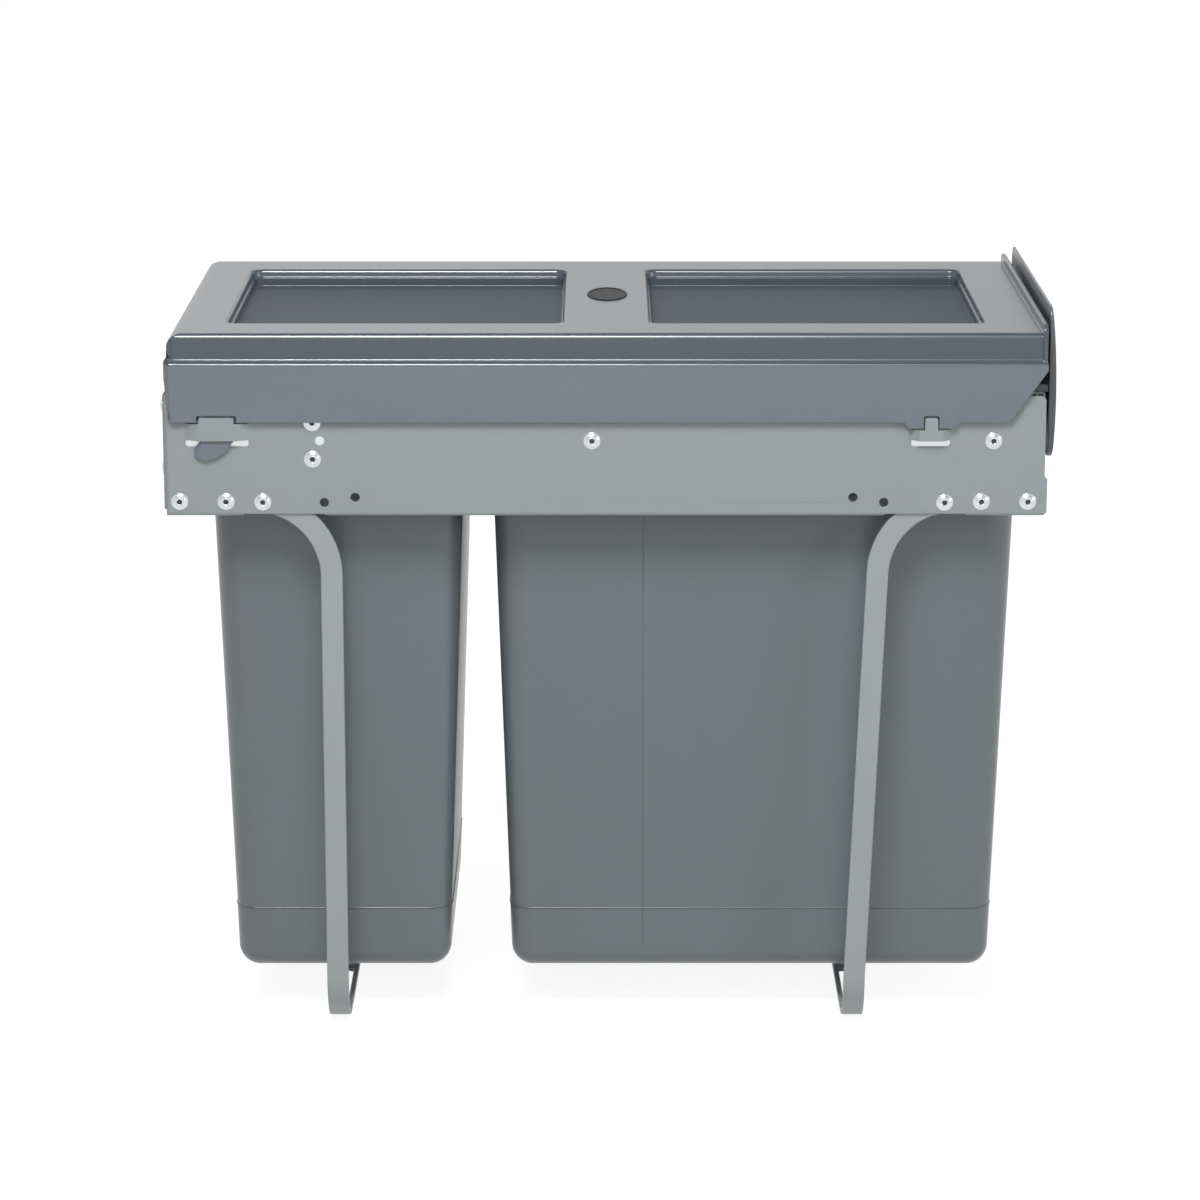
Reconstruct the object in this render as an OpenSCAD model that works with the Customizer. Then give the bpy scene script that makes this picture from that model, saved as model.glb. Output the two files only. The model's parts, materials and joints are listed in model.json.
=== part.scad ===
// Pull-out waste bin unit for the floor of a 300 mm kitchen base cabinet.
// A riveted sheet-steel frame on two flat-bar legs, a carrier on ball-bearing slides,
// two moulded bins, a front plate to pull it by and a lid that stays in the cabinet.
// X runs front to back with the front at +X, Y across, and Z up from the cabinet floor.

/* [Side panels] */
// Length of each side panel
panel_length = 480; // [474:1:500]
// Width of the frame over its side panels
frame_width = 250; // [246:1:280]
// Height of the panels' lower edge above the floor
panel_base = 295.8; // [285:0.2:340]
// Height of each side panel
panel_height = 66.5; // [65:0.5:72]
// Thickness of the frame's steel sheet
sheet = 1.2; // [1:0.1:1.4]
// Outer radius of the sheet's folds
fold_radius = 2; // [1.8:0.1:2.6]
// Width of the lip folded in along each panel's lower edge
panel_lip = 10; // [7:0.5:11]
// Width of the flange folded in at each panel's rear end
rear_flange = 15; // [13:0.5:18]
// How far the panel's front edge stands back above its foot
front_step = 1.5; // [1:0.1:3]
// Height of the foot at the panel's front edge
front_foot_height = 22; // [18:0.5:28]

/* [Lid loops] */
// Centre of each rear loop, from the rear end of the panel
rear_loop_from_end = 28.4; // [28:0.2:36]
// Centre of each front loop, from the front end of the panel
front_loop_from_end = 63.8; // [60:0.2:76]
// Length of a rear loop's window
rear_loop_length = 34.4; // [31:0.2:36]
// Length of a front loop's window
front_loop_length = 21.2; // [20:0.2:24]
// Flat part of a rear loop
rear_loop_flat = 19; // [17:0.2:20]
// Flat part of a front loop
front_loop_flat = 13.2; // [12.4:0.2:13.6]
// Width of the tab on top of a front loop
front_loop_tab = 7; // [6:0.2:9]
// Height of the loops' lower edges below the top of the side panels
loop_drop = 24.3; // [23:0.1:26]
// Height of the loops with their tabs
loop_height = 12.7; // [12:0.1:13.4]
// Height of the slot below a loop
slot_height = 3.8; // [3.4:0.2:5]
// Room behind a loop for the lid's tongue
loop_room = 2.6; // [2.4:0.1:3]

/* [Legs] */
// Width of the legs' flat bar
bar_width = 12; // [11:0.1:13]
// Thickness of the legs' flat bar
bar_thickness = 3; // [2.5:0.1:4]
// Distance of the rear leg's upright behind the middle of the frame
rear_leg_x = 150.5; // [140:0.5:155]
// Distance of the front leg's upright ahead of the middle of the frame
front_leg_x = 148.4; // [140:0.2:155]
// Lean of the front leg's uprights
front_leg_lean = 2.3; // [0:0.1:4]
// Centre-line radius of the legs' upper bends
upper_bend = 42; // [38:1:46]
// Outer radius of the legs' bends at the floor
floor_bend = 30; // [20:1:34]
// Width of the slots for the floor screws
slot_width = 6; // [4.5:0.1:6.5]
// Length of the slots for the floor screws
slot_length = 52; // [40:1:56]
// Distance between the centres of the two slots of a leg
slot_spacing = 100; // [96:1:110]

/* [Fasteners] */
// Head diameter of the frame's blind rivets
rivet_head = 9.4; // [8.8:0.1:9.8]
// Head height of the blind rivets
rivet_head_height = 1.3; // [1:0.1:2]
// Shank diameter of the blind rivets
rivet_shank = 4.8; // [4:0.1:5]
// Hole that the mandrel leaves in a blind rivet
rivet_bore = 2.8; // [2:0.1:3]
// Diameter of the screw holes in the side panels
side_hole = 5; // [4:0.1:6]
// Diameter of the small locating hole in each side panel
locating_hole = 5.2; // [4:0.1:6]
// Distance between the lower pair of screw holes in each side panel
side_hole_spacing = 304.9; // [290:0.1:310]
// Distance between the upper pair
upper_side_hole_spacing = 271.3; // [255:0.1:280]

/* [Ball-bearing slides] */
// Distance of the slides' outer members from the ends of the side panels
slide_end_gap = 10; // [9:0.5:16]
// Height of the slides
slide_height = 45; // [44:0.5:48]
// Thickness of the slides, closed
slide_thickness = 12.7; // [12.5:0.1:13.5]
// Sheet thickness of the slide members
member_sheet = 1.2; // [1.1:0.05:1.25]
// Ball diameter
ball_d = 4; // [3.8:0.05:4.1]
// Balls in each row
balls_per_row = 8; // [5:1:8]
// Distance between the balls of a row
ball_pitch = 18; // [12:0.5:19]

/* [Carrier] */
// Height of the carrier's top above the top of the side panels
carrier_rise = 0.5; // [-0.5:0.1:1.5]
// Height of the carrier's side rails
rail_height = 37.8; // [36:0.2:46]
// Width of the flanges that the bins hang on
rail_flange = 4.3; // [4:0.1:5.5]
// Gap between the carrier and the rear end of the side panels
carrier_rear_gap = 8.4; // [8:0.1:10]
// Gap between the carrier and the front end of the side panels
carrier_front_gap = 7.4; // [7:0.1:10]
// Height of the carrier's cross bars
bar_height = 24; // [20:0.5:26]

/* [Bins] */
// Length of the small bin below its rim
small_bin_length = 142.6; // [120:0.2:150]
// Gap between the two bins below their rims
bin_gap = 12.6; // [12:0.2:20]
// Height of the bins' floors above the cabinet floor
bin_clearance = 25.5; // [20:0.5:60]
// Wall thickness of the bins
bin_wall = 2.2; // [1.8:0.1:3]
// Draft angle of the bins' walls
bin_draft = 1.95; // [1:0.05:2.3]
// Radius of the bins' upright corners at the rim
bin_corner = 20; // [14:0.5:22]
// Radius around the bins' floors
bin_floor_radius = 12; // [8:0.5:13]
// Width of the bins' rims
bin_lip = 4.2; // [3.6:0.1:4.4]
// Thickness of the bins' rims
bin_lip_thickness = 2.4; // [2:0.1:3]
// Height of the bead around the bins' mouths above their rims
bin_bead = 2.4; // [1:0.2:4]
// Height of the band around the foot of each bin
bin_foot_height = 36.2; // [25:0.2:45]
// How far that band stands out
bin_foot_step = 0.2; // [0.2:0.1:0.6]

/* [Lid] */
// Height of the lid's top above the top of the side panels
lid_rise = 34.3; // [34:0.1:38]
// Wall thickness of the lid
lid_wall = 2.2; // [2:0.1:2.4]
// Height of the lid's ledge above the top of the side panels
ledge_rise = 18.6; // [17:0.2:20]
// How far the skirt stands out from the band above it
ledge_width = 3; // [2.6:0.1:4]
// How far the skirt reaches down over the side panels
skirt_overlap = 14.3; // [13.7:0.1:14.7]
// Radius along the lid's upper edges
lid_edge_radius = 3.5; // [3:0.1:4]
// Radius of the lid's upper rear edge, seen from the side
lid_rear_radius = 9; // [8:0.1:10]
// Height of the raised lip along the lid's front edge
front_lip_height = 4.9; // [3:0.1:6]
// Distance of the sunk panels from the ends of the frame
pan_from_end = 32; // [28:0.5:50]
// Distance of the sunk panels from the sides of the frame
pan_from_side = 34; // [30:0.5:50]
// Distance of the sunk panels from the middle of the lid
pan_from_middle = 23.6; // [16:0.2:30]
// Depth of the sunk panels
pan_depth = 9.6; // [8.8:0.1:11.5]
// Depth of the step in the sunk panels' walls
pan_step_depth = 4.4; // [4:0.1:7]
// Width of the step in the sunk panels' walls
pan_step = 1; // [0.8:0.1:3]
// Corner radius of the sunk panels
pan_corner = 6.5; // [6:0.1:10]
// Length of the oval badge along X
badge_length = 22.3; // [16:0.1:26]
// Width of the oval badge along Y
badge_width = 43; // [30:0.5:50]

/* [Front plate] */
// Height of the front plate
plate_height = 83.7; // [80:0.1:88]
// Distance of the front plate's sides from the sides of the frame
plate_inset = 15; // [12:0.5:18]
// Wall thickness of the front plate
plate_wall = 2.2; // [1.8:0.1:2.6]
// Radius of the front plate's bulge
plate_radius = 442; // [400:1:500]
// Height of the bulge's crown above the lower edge of the front plate
plate_crown_rise = 34; // [30:0.2:40]
// Radius of the front plate's corners
plate_corner = 8; // [6:0.5:12]
// Thickness of the shelf behind the front plate
shelf = 4.2; // [3.6:0.1:5]

/* [Hidden] */
$fn = 64;
// Overlap that makes a union or a cut clean
eps = 0.2;
// Gap of a sliding or lift-off fit
gap = 0.3;
// Faces of a rounded corner inside a hull
hull_fn = 32;
// Thickness of one level inside a hull
level = 0.01;

// Side panels: each is drawn at -Y and mirrored
x_rear = -panel_length / 2;
x_front = panel_length / 2;
y_panel = frame_width / 2;
y_inside = y_panel - sheet;
panel_top = panel_base + panel_height;
lip_notch = 1.1;
lip_notch_behind = 39;
lip_notch_length = 44.5;
rear_loop_x = x_rear + rear_loop_from_end;
front_loop_x = x_front - front_loop_from_end;
loop_z = panel_top - loop_drop;
loop_top = loop_z + loop_height;
slot_z = loop_z - slot_height;
side_hole_z = panel_base + 7.5;
upper_side_hole_z = side_hole_z + 2.8;
side_hole_offset = -1.3;

// Lid's skirt and the gap that it keeps above the loops
skirt_bottom = panel_top - skirt_overlap;
skirt_gap = 0.7;
flap_drop = 3.3;
flap_half = 15;
rear_loop_ends = skirt_bottom - skirt_gap;
front_loop_ends = skirt_bottom - flap_drop - skirt_gap;

// Rear cross panel
rear_rivet_y = y_panel - rear_flange / 2;
rear_rivet_spacing = 35;
rear_rivet_top = panel_top - 6.3;
rear_rivet_z = [rear_rivet_top, rear_rivet_top - rear_rivet_spacing];
rear_panel_half = y_panel - 3;
rear_panel_top = panel_top + sheet;
rear_panel_lip = 6;

// Legs
bar_z = panel_base + 8;
bar_end = x_front - 3;
bar_y = y_inside - bar_thickness;
leg_rivet_front = 10.4;
leg_rivet_rear = 7.4;
leg_rivet_steps = [45.3, 25.3, 0];

// Blind rivets' bulge behind the sheets
rivet_bulge = 1.5;
rivet_bulge_d = rivet_shank + 1.8;

// Slides, measured inwards from the panel's inner face
slide_above_base = 41.7;
slide_z = panel_base + slide_above_base;
slide_rear = x_rear + slide_end_gap;
slide_front = x_front - slide_end_gap;
member_gap = 0.3;
cage_sheet = 0.4;
ear_sheet = 0.5;
race_gap = 0.1;
race_r = ball_d / 2 + race_gap;
race_wall = 1.1;
race_half_gap = 0.7;
middle_web = member_sheet + 2 * member_gap + cage_sheet;
inner_cage_web = middle_web + member_sheet + member_gap;
inner_flange = inner_cage_web + cage_sheet + member_gap;
ball_u = inner_flange + race_r + race_wall;
outer_ball_w = slide_height / 2 - member_sheet - race_r;
middle_w = outer_ball_w - race_r;
inner_ball_w = middle_w - member_sheet - race_r;
inner_w = inner_ball_w - race_r;
flange_u = ball_u + race_r + race_wall;
cage_length = ball_pitch * balls_per_row + 6;
slide_rivet_rear = x_rear + 80.2;
slide_rivet_front = x_front - 29.7;
slide_rivet_rise = 10.1;
slide_rivets = [
    [slide_rivet_rear, slide_rivet_rise],
    [slide_rivet_rear, -slide_rivet_rise],
    [-7.9, 0],
    [slide_rivet_front, 0]
];
locating_offset = 3.9;
bumper_start = 1;
bumper_length = 5;
member_end_gap = bumper_start + bumper_length + 0.5;

// Carrier
carrier_top = panel_top + carrier_rise;
carrier_rear = x_rear + carrier_rear_gap;
carrier_front = x_front - carrier_front_gap;
rail_y = y_inside - slide_thickness;
rail_inside = rail_y - sheet;
flange_y = rail_inside - rail_flange;
cross_bar_top = carrier_top - sheet;
bar_half = rail_inside - fold_radius + sheet;
rear_bar_flange = 11;
front_bar_x = x_front - 0.4;
front_bar_flange = front_bar_x - carrier_front + 3.8;
divider_lip = 8;
divider_inset = 0.7;
carrier_rivet_x = [-150, 0, 150];

// Bins
bin_half = flange_y - 0.8;
bin_top = carrier_top;
small_bin_x0 = carrier_rear + rear_bar_flange + 0.8;
small_bin_x1 = small_bin_x0 + small_bin_length;
large_bin_x0 = small_bin_x1 + bin_gap;
large_bin_x1 = carrier_front - 4.6;
bin_height = bin_top - bin_clearance;
bin_mouth = bin_top + bin_lip_thickness + bin_bead;

// Lid
lid_top = panel_top + lid_rise;
ledge_z = panel_top + ledge_rise;
band_half = y_panel;
skirt_half = band_half + ledge_width;
skirt_inside = skirt_half - lid_wall;
skirt_front = x_front - 1;
band_rear = x_rear + 1.4;
front_flange = 2.4;
flange_front = x_front - 1.4;
flange_rear = flange_front - front_flange;
flange_bottom = ledge_z - 2.4;
ledge_radius = 1.6;
rivet_relief = y_panel + rivet_head_height + 0.4;
relief_corner = 1.5;
tongue_y0 = y_panel + gap;
tongue_y1 = y_panel + loop_room - gap;
rear_wall_bottom = rear_panel_top + 0.5;
lid_rib = 2;
notch_room = 1.2;
tab_room = 0.5;
notch_corner = 1;
finger_tip = 7.2;
finger_radius = 16;
finger_offset = 6.5;
flange_corner = 6;
flange_lap = 14;
skirt_corner = 9;
lid_rib_end = 50;
lid_rib_x = [x_rear + lid_rib_end, -60, 60, x_front - 90];
pan_length = x_front - pan_from_end - pan_from_middle;
pan_half = y_panel - pan_from_side;
pan_x = [-pan_from_middle - pan_length, pan_from_middle];
pan_draft = 0.6;
badge_depth = 0.9;
badge_x = 0.6;
badge_y = 3;

// Front plate
plate_top = lid_top + 11.9;
plate_bottom = plate_top - plate_height;
plate_back = x_front + 1.2;
plate_crown = x_front + 5.4;
plate_crown_z = plate_bottom + plate_crown_rise;
plate_half = y_panel - plate_inset;
shelf_z = cross_bar_top;
shelf_rear = carrier_front + 0.2;
plate_screw_y = [for (share = [-0.91, -0.36, 0.36, 0.91]) share * plate_half];
plate_screw = 3.5;
plate_screw_x = front_bar_x - fold_radius - plate_screw / 2 - 0.2;
plate_screw_head = 6.4;

// Extrudes a (y, z) outline along X
module along_x(x0, x1) {
    translate([x0, 0, 0]) rotate([90, 0, 90]) linear_extrude(x1 - x0) children();
}

// Extrudes an (x, z) outline along Y
module along_y(y0, y1) {
    translate([0, y1, 0]) rotate([90, 0, 0]) linear_extrude(y1 - y0) children();
}

// Extrudes an (x, y) outline along Z
module along_z(z0, z1) {
    translate([0, 0, z0]) linear_extrude(z1 - z0) children();
}

// A cylinder along Y, from y0 to y1
module pin_y(x, z, r, y0, y1) {
    translate([x, y1, z]) rotate([90, 0, 0]) cylinder(r = r, h = y1 - y0);
}

// A cylinder along X, from x0 to x1
module pin_x(y, z, r, x0, x1) {
    translate([x0, y, z]) rotate([0, 90, 0]) cylinder(r = r, h = x1 - x0);
}

// The far copy of what is drawn at -Y
module far_side() {
    mirror([0, 1, 0]) children();
}

// A rectangle with round corners, made of squares and circles
module round_rect(x0, y0, x1, y1, r) {
    translate([x0 + r, y0]) square([x1 - x0 - 2 * r, y1 - y0]);
    translate([x0, y0 + r]) square([x1 - x0, y1 - y0 - 2 * r]);
    for (x = [x0 + r, x1 - r], y = [y0 + r, y1 - r])
        translate([x, y]) circle(r);
}

// Section of a folded sheet: outer corner at the origin, legs along +x and +y
module folded_angle(a, b, t, r) {
    translate([r, 0]) square([a - r, t]);
    translate([0, r]) square([t, b - r]);
    intersection() {
        square([r, r]);
        translate([r, r]) difference() {
            circle(r);
            circle(r - t);
        }
    }
}

function arc(c, r, a0, a1, n = 8) =
    [for (i = [0:n]) c + r * [cos(a0 + (a1 - a0) * i / n), sin(a0 + (a1 - a0) * i / n)]];

function mirrored(points) =
    [for (i = [len(points) - 1:-1:0]) [-points[i][0], points[i][1]]];

// Side panel at -Y

module panel_outline() {
    foot_top = panel_base + front_foot_height;
    corner = 2;
    polygon([
        [x_rear, panel_base],
        [x_front - corner, panel_base],
        [x_front, panel_base + corner],
        [x_front, foot_top - front_step],
        [x_front - front_step, foot_top],
        [x_front - front_step, panel_top - corner],
        [x_front - front_step - corner, panel_top],
        [x_rear, panel_top]
    ]);
}

// A hole through the near side panel
module panel_hole(x, z, d) {
    pin_y(x, z, d / 2, -y_panel - eps, -y_inside + eps);
}

module panel_holes() {
    for (s = [-1, 1]) {
        panel_hole(side_hole_offset + s * side_hole_spacing / 2, side_hole_z, side_hole);
        panel_hole(side_hole_offset + s * upper_side_hole_spacing / 2, upper_side_hole_z, side_hole);
        for (x = leg_rivets(s))
            panel_hole(s * x, leg_centre_z(s, x), rivet_shank);
    }
    for (p = slide_rivets)
        panel_hole(p[0], slide_z + p[1], rivet_shank);
    panel_hole(slide_rivet_rear + locating_offset, slide_z, locating_hole);
}

// Cut-outs in the lower fold that let the legs bend down through it
module lip_notches() {
    for (s = [-1, 1]) {
        x0 = leg_arc(s)[0] - lip_notch_behind;
        translate([s > 0 ? x0 : -x0 - lip_notch_length, -y_panel - 1, panel_base - 1]) {
            cube([lip_notch_length, panel_lip + 2, lip_notch + 1]);
            translate([0, sheet + 1, 0]) cube([lip_notch_length, panel_lip + 1, fold_radius + 1]);
        }
    }
}

// Window under a loop, with round ends to its slot
module loop_window(x, length, tab, ends_z) {
    r = slot_height / 2;
    along_y(-y_panel - eps, -y_inside + eps) {
        round_rect(x - length / 2, slot_z, x + length / 2, loop_z + r, r);
        translate([x - length / 2, loop_z - eps]) square([length, ends_z - loop_z + skirt_gap + eps]);
        translate([x - tab / 2, loop_z]) square([tab, loop_height]);
    }
}

// Plan of a loop pressed out of the panel, between its two ends
module loop_plan(length, flat) {
    outer = loop_room + sheet;
    inner_flat = flat / 2 - sheet / 2;
    polygon([
        [-length / 2 - eps, 0],
        [-length / 2, 0],
        [-flat / 2, -outer],
        [flat / 2, -outer],
        [length / 2, 0],
        [length / 2 + eps, 0],
        [length / 2 + eps, sheet],
        [length / 2, sheet],
        [inner_flat, -loop_room],
        [-inner_flat, -loop_room],
        [-length / 2, sheet],
        [-length / 2 - eps, sheet]
    ]);
}

module loop(x, length, flat, tab, ends_z) {
    translate([x, -y_panel, 0]) {
        along_z(loop_z, ends_z) loop_plan(length, flat);
        along_y(-loop_room - sheet, -loop_room)
            round_rect(-tab / 2, loop_z + 1, tab / 2, loop_top, 1);
    }
}

module side_panel() {
    color("#8f9597") {
        difference() {
            union() {
                intersection() {
                    along_x(x_rear, x_front) translate([-y_panel, panel_base])
                        folded_angle(panel_lip, panel_height, sheet, fold_radius);
                    along_y(-y_panel, -y_panel + panel_lip) panel_outline();
                }
                along_z(panel_base + fold_radius + gap, panel_top) translate([x_rear, -y_panel])
                    folded_angle(fold_radius + 4, rear_flange, sheet, fold_radius);
            }
            along_z(panel_base - 1, panel_top + 1) translate([x_rear, -y_panel]) difference() {
                translate([-1, -1]) square(fold_radius + 1);
                translate([fold_radius, fold_radius]) circle(fold_radius);
            }
            lip_notches();
            panel_holes();
            loop_window(rear_loop_x, rear_loop_length, rear_loop_flat, rear_loop_ends);
            loop_window(front_loop_x, front_loop_length, front_loop_tab, front_loop_ends);
            for (z = rear_rivet_z)
                pin_x(-rear_rivet_y, z, rivet_shank / 2, x_rear - eps, x_rear + sheet + eps);
        }
        loop(rear_loop_x, rear_loop_length, rear_loop_flat, rear_loop_flat, rear_loop_ends);
        loop(front_loop_x, front_loop_length, front_loop_flat, front_loop_tab, front_loop_ends);
    }
}

// Rear cross panel, riveted to the side panels' rear flanges. Its top is folded in between them.
module rear_cross_panel() {
    color("#8f9597") difference() {
        along_y(-rear_panel_half, rear_panel_half)
            translate([x_rear - sheet, rear_panel_top]) mirror([0, 1])
                folded_angle(sheet + rear_panel_lip, panel_height - 2, sheet, fold_radius);
        for (s = [-1, 1]) {
            for (z = rear_rivet_z)
                pin_x(s * rear_rivet_y, z, rivet_shank / 2, x_rear - sheet - eps, x_rear + eps);
            translate([x_rear, s > 0 ? y_panel - rear_flange - gap : -y_panel, rear_panel_top - fold_radius - 1])
                cube([rear_panel_lip + 1, rear_flange + gap, fold_radius + 2]);
        }
    }
}

// Legs: a flat bar bent edgewise under the panel and flatwise at the floor.
// Both are drawn for the front (s = 1), and the rear leg (s = -1) is mirrored in X.

// Distances of a leg's rivets from the middle of the frame
function leg_rivets(s) =
    [for (step = leg_rivet_steps) x_front - (s > 0 ? leg_rivet_front : leg_rivet_rear) - step];

function leg_lean(s) = s > 0 ? front_leg_lean : 0;
function leg_arc(s) = [(s > 0 ? front_leg_x : rear_leg_x) + upper_bend, bar_z - upper_bend];

// Height of the bar's centre line at x, on the upper bend or the run behind it
function leg_centre_z(s, x) =
    let (dx = min(0, x - leg_arc(s)[0]))
    leg_arc(s)[1] + sqrt(upper_bend * upper_bend - dx * dx);

// Where an edge of the upright, w from the centre line, meets height z
function leg_edge(s, w, z) =
    let (a = leg_lean(s), p = leg_arc(s) + (upper_bend - w) * [-cos(a), sin(a)])
    p[0] - (p[1] - z) * tan(a);

module leg_outline(s) {
    c = leg_arc(s);
    a = leg_lean(s);
    r0 = upper_bend - bar_width / 2;
    r1 = upper_bend + bar_width / 2;
    tangent = [-cos(a), sin(a)];
    translate([c[0], bar_z - bar_width / 2]) square([bar_end - c[0], bar_width]);
    difference() {
        intersection() {
            translate(c) circle(r1);
            polygon([c, c + [0, 2 * r1], c + [-2 * r1, 2 * r1], c + 2 * r1 * tangent]);
        }
        translate(c) circle(r0);
    }
    polygon([
        c + r1 * tangent,
        c + r0 * tangent,
        [leg_edge(s, bar_width / 2, floor_bend), floor_bend],
        [leg_edge(s, -bar_width / 2, floor_bend), floor_bend]
    ]);
}

module leg(s) {
    x0 = leg_edge(s, -bar_width / 2, floor_bend);
    x1 = leg_edge(s, bar_width / 2, floor_bend);
    y_bend = y_inside - floor_bend;
    color("#9aa0a2") mirror([s > 0 ? 0 : 1, 0, 0]) difference() {
        union() {
            for (far = [0, 1]) mirror([0, far, 0]) {
                along_y(-y_inside, -bar_y) leg_outline(s);
                translate([x0, -y_bend, floor_bend]) rotate([90, 0, 90]) linear_extrude(x1 - x0)
                    intersection() {
                        difference() {
                            circle(floor_bend);
                            circle(floor_bend - bar_thickness);
                        }
                        translate([-floor_bend, -floor_bend]) square(floor_bend);
                    }
            }
            translate([x0, -y_bend, 0]) cube([x1 - x0, 2 * y_bend, bar_thickness]);
        }
        for (far = [0, 1], x = leg_rivets(s)) mirror([0, far, 0])
            pin_y(x, leg_centre_z(s, x), rivet_shank / 2, -y_inside - eps, -bar_y + eps);
        for (far = [-1, 1]) along_z(-eps, bar_thickness + eps)
            translate([(x0 + x1) / 2, far * slot_spacing / 2]) floor_slot();
    }
}

module floor_slot() {
    r = slot_width / 2;
    translate([-r, -slot_length / 2 + r]) square([slot_width, slot_length - slot_width]);
    for (s = [-1, 1]) translate([0, s * (slot_length / 2 - r)]) circle(r);
}

// Blind rivets

// A blind rivet along +z through a stack of sheets, its head below z = 0
module blind_rivet(stack, flush) {
    difference() {
        union() {
            intersection() {
                dome_r = (rivet_head * rivet_head / 4 + rivet_head_height * rivet_head_height)
                    / (2 * rivet_head_height);
                translate([0, 0, dome_r - rivet_head_height]) sphere(dome_r);
                translate([0, 0, -rivet_head_height]) cylinder(d = rivet_head, h = rivet_head_height);
            }
            cylinder(d = rivet_shank, h = stack);
            if (!flush) translate([0, 0, stack]) cylinder(d = rivet_bulge_d, h = rivet_bulge);
        }
        translate([0, 0, -rivet_head_height - 1]) cylinder(d = rivet_bore, h = rivet_head_height + 1);
    }
}

module frame_rivets() {
    color("#d9dcdf") for (far = [0, 1]) mirror([0, far, 0]) {
        for (s = [-1, 1], x = leg_rivets(s))
            translate([s * x, -y_panel, leg_centre_z(s, x)]) rotate([-90, 0, 0])
                blind_rivet(sheet + bar_thickness, false);
        for (p = slide_rivets)
            translate([p[0], -y_panel, slide_z + p[1]]) rotate([-90, 0, 0])
                blind_rivet(sheet + member_sheet, true);
        for (z = rear_rivet_z)
            translate([x_rear - sheet, -rear_rivet_y, z]) rotate([0, 90, 0])
                blind_rivet(2 * sheet, false);
    }
}

// Slide members: outlines in (u, w), u inwards from the panel and w up from the slide's centre

// Rolled race around a ball row, kept on one side of the row (side +1 above, -1 below)
module race(w, side) {
    intersection() {
        translate([ball_u, w]) circle(race_r + race_wall);
        translate([0, side > 0 ? w + race_half_gap : w - race_half_gap - 10]) square([slide_thickness, 10]);
    }
}

module member_outline(web_u, flange_u0, flange_u1, w, ball_above, ball_below) {
    difference() {
        union() {
            translate([web_u, -w]) square([member_sheet, 2 * w]);
            for (s = [0, 1]) mirror([0, s]) {
                translate([flange_u0, w - member_sheet]) square([flange_u1 - flange_u0, member_sheet]);
                if (ball_above > 0) race(ball_above, -1);
                if (ball_below > 0) race(ball_below, 1);
            }
        }
        for (s = [0, 1]) mirror([0, s]) {
            if (ball_above > 0) translate([ball_u, ball_above]) circle(race_r);
            if (ball_below > 0) translate([ball_u, ball_below]) circle(race_r);
        }
    }
}

// Puts an outline of the near slide in its place and draws it from x0 to x1
module slide_bar(x0, x1) {
    along_x(x0, x1) translate([-y_inside, slide_z]) children();
}

module slide_outer() {
    color("#c9cdd0") difference() {
        slide_bar(slide_rear, slide_front)
            member_outline(0, 0, flange_u, slide_height / 2, 0, outer_ball_w);
        for (p = slide_rivets)
            pin_y(p[0], slide_z + p[1], rivet_shank / 2, -y_inside - eps, -y_inside + member_sheet + eps);
    }
}

module slide_middle() {
    color("#c9cdd0") slide_bar(slide_rear + member_end_gap, slide_front - member_end_gap)
        member_outline(middle_web, middle_web, flange_u, middle_w, outer_ball_w, inner_ball_w);
}

module slide_inner() {
    color("#c9cdd0") difference() {
        slide_bar(slide_rear + member_end_gap, carrier_front - 0.6)
            member_outline(slide_thickness - member_sheet, inner_flange, slide_thickness, inner_w, inner_ball_w, 0);
        carrier_rivet_holes();
    }
}

// Ball positions along a row
ball_x = [for (i = [0:balls_per_row - 1]) (i - (balls_per_row - 1) / 2) * ball_pitch];

// A ball cage: a thin web with an ear along each ball row
module cage(web_u, w) {
    color("#b4a77a") difference() {
        slide_bar(-cage_length / 2, cage_length / 2) {
            translate([web_u, -w - ear_sheet / 2]) square([cage_sheet, 2 * w + ear_sheet]);
            for (s = [-1, 1])
                translate([web_u, s * w - ear_sheet / 2]) square([flange_u - web_u, ear_sheet]);
        }
        for (x = ball_x)
            translate([x, ball_u - y_inside, slide_z - w - ear_sheet])
                cylinder(r = ball_d / 2 + 0.05, h = 2 * w + 2 * ear_sheet);
    }
}

module balls(w) {
    color("#e2e4e6") for (x = ball_x, s = [-1, 1])
        translate([x, ball_u - y_inside, slide_z + s * w]) sphere(d = ball_d);
}

module slide_bumpers() {
    color("#2b2d2f") for (far = [0, 1]) mirror([0, far, 0])
        slide_bar(slide_rear + bumper_start, slide_rear + bumper_start + bumper_length)
            translate([member_sheet, -middle_w]) square([flange_u - 1 - member_sheet, 2 * middle_w]);
}

// Carrier

module carrier_rivet_holes() {
    for (x = carrier_rivet_x)
        pin_y(x, slide_z, rivet_shank / 2, -rail_y - member_sheet - eps, -rail_inside + eps);
}

module carrier_rail() {
    color("#8f9597") difference() {
        along_x(carrier_rear, carrier_front) translate([-rail_y, carrier_top]) mirror([0, 1])
            folded_angle(sheet + rail_flange, rail_height, sheet, fold_radius);
        carrier_rivet_holes();
    }
}

// The cross bars lie between the rails, with their flanges under the rails' flanges
module carrier_front_bar() {
    color("#8f9597") difference() {
        along_y(-bar_half, bar_half) translate([front_bar_x, cross_bar_top]) mirror([1, 0]) mirror([0, 1])
            folded_angle(front_bar_flange, bar_height, sheet, fold_radius);
        for (y = plate_screw_y) translate([plate_screw_x, y, cross_bar_top - sheet - eps])
            cylinder(d = plate_screw, h = sheet + 2 * eps);
    }
}

module carrier_rear_bar() {
    color("#8f9597") along_y(-bar_half, bar_half) translate([carrier_rear, cross_bar_top]) mirror([0, 1])
        folded_angle(rear_bar_flange, bar_height, sheet, fold_radius);
}

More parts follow.
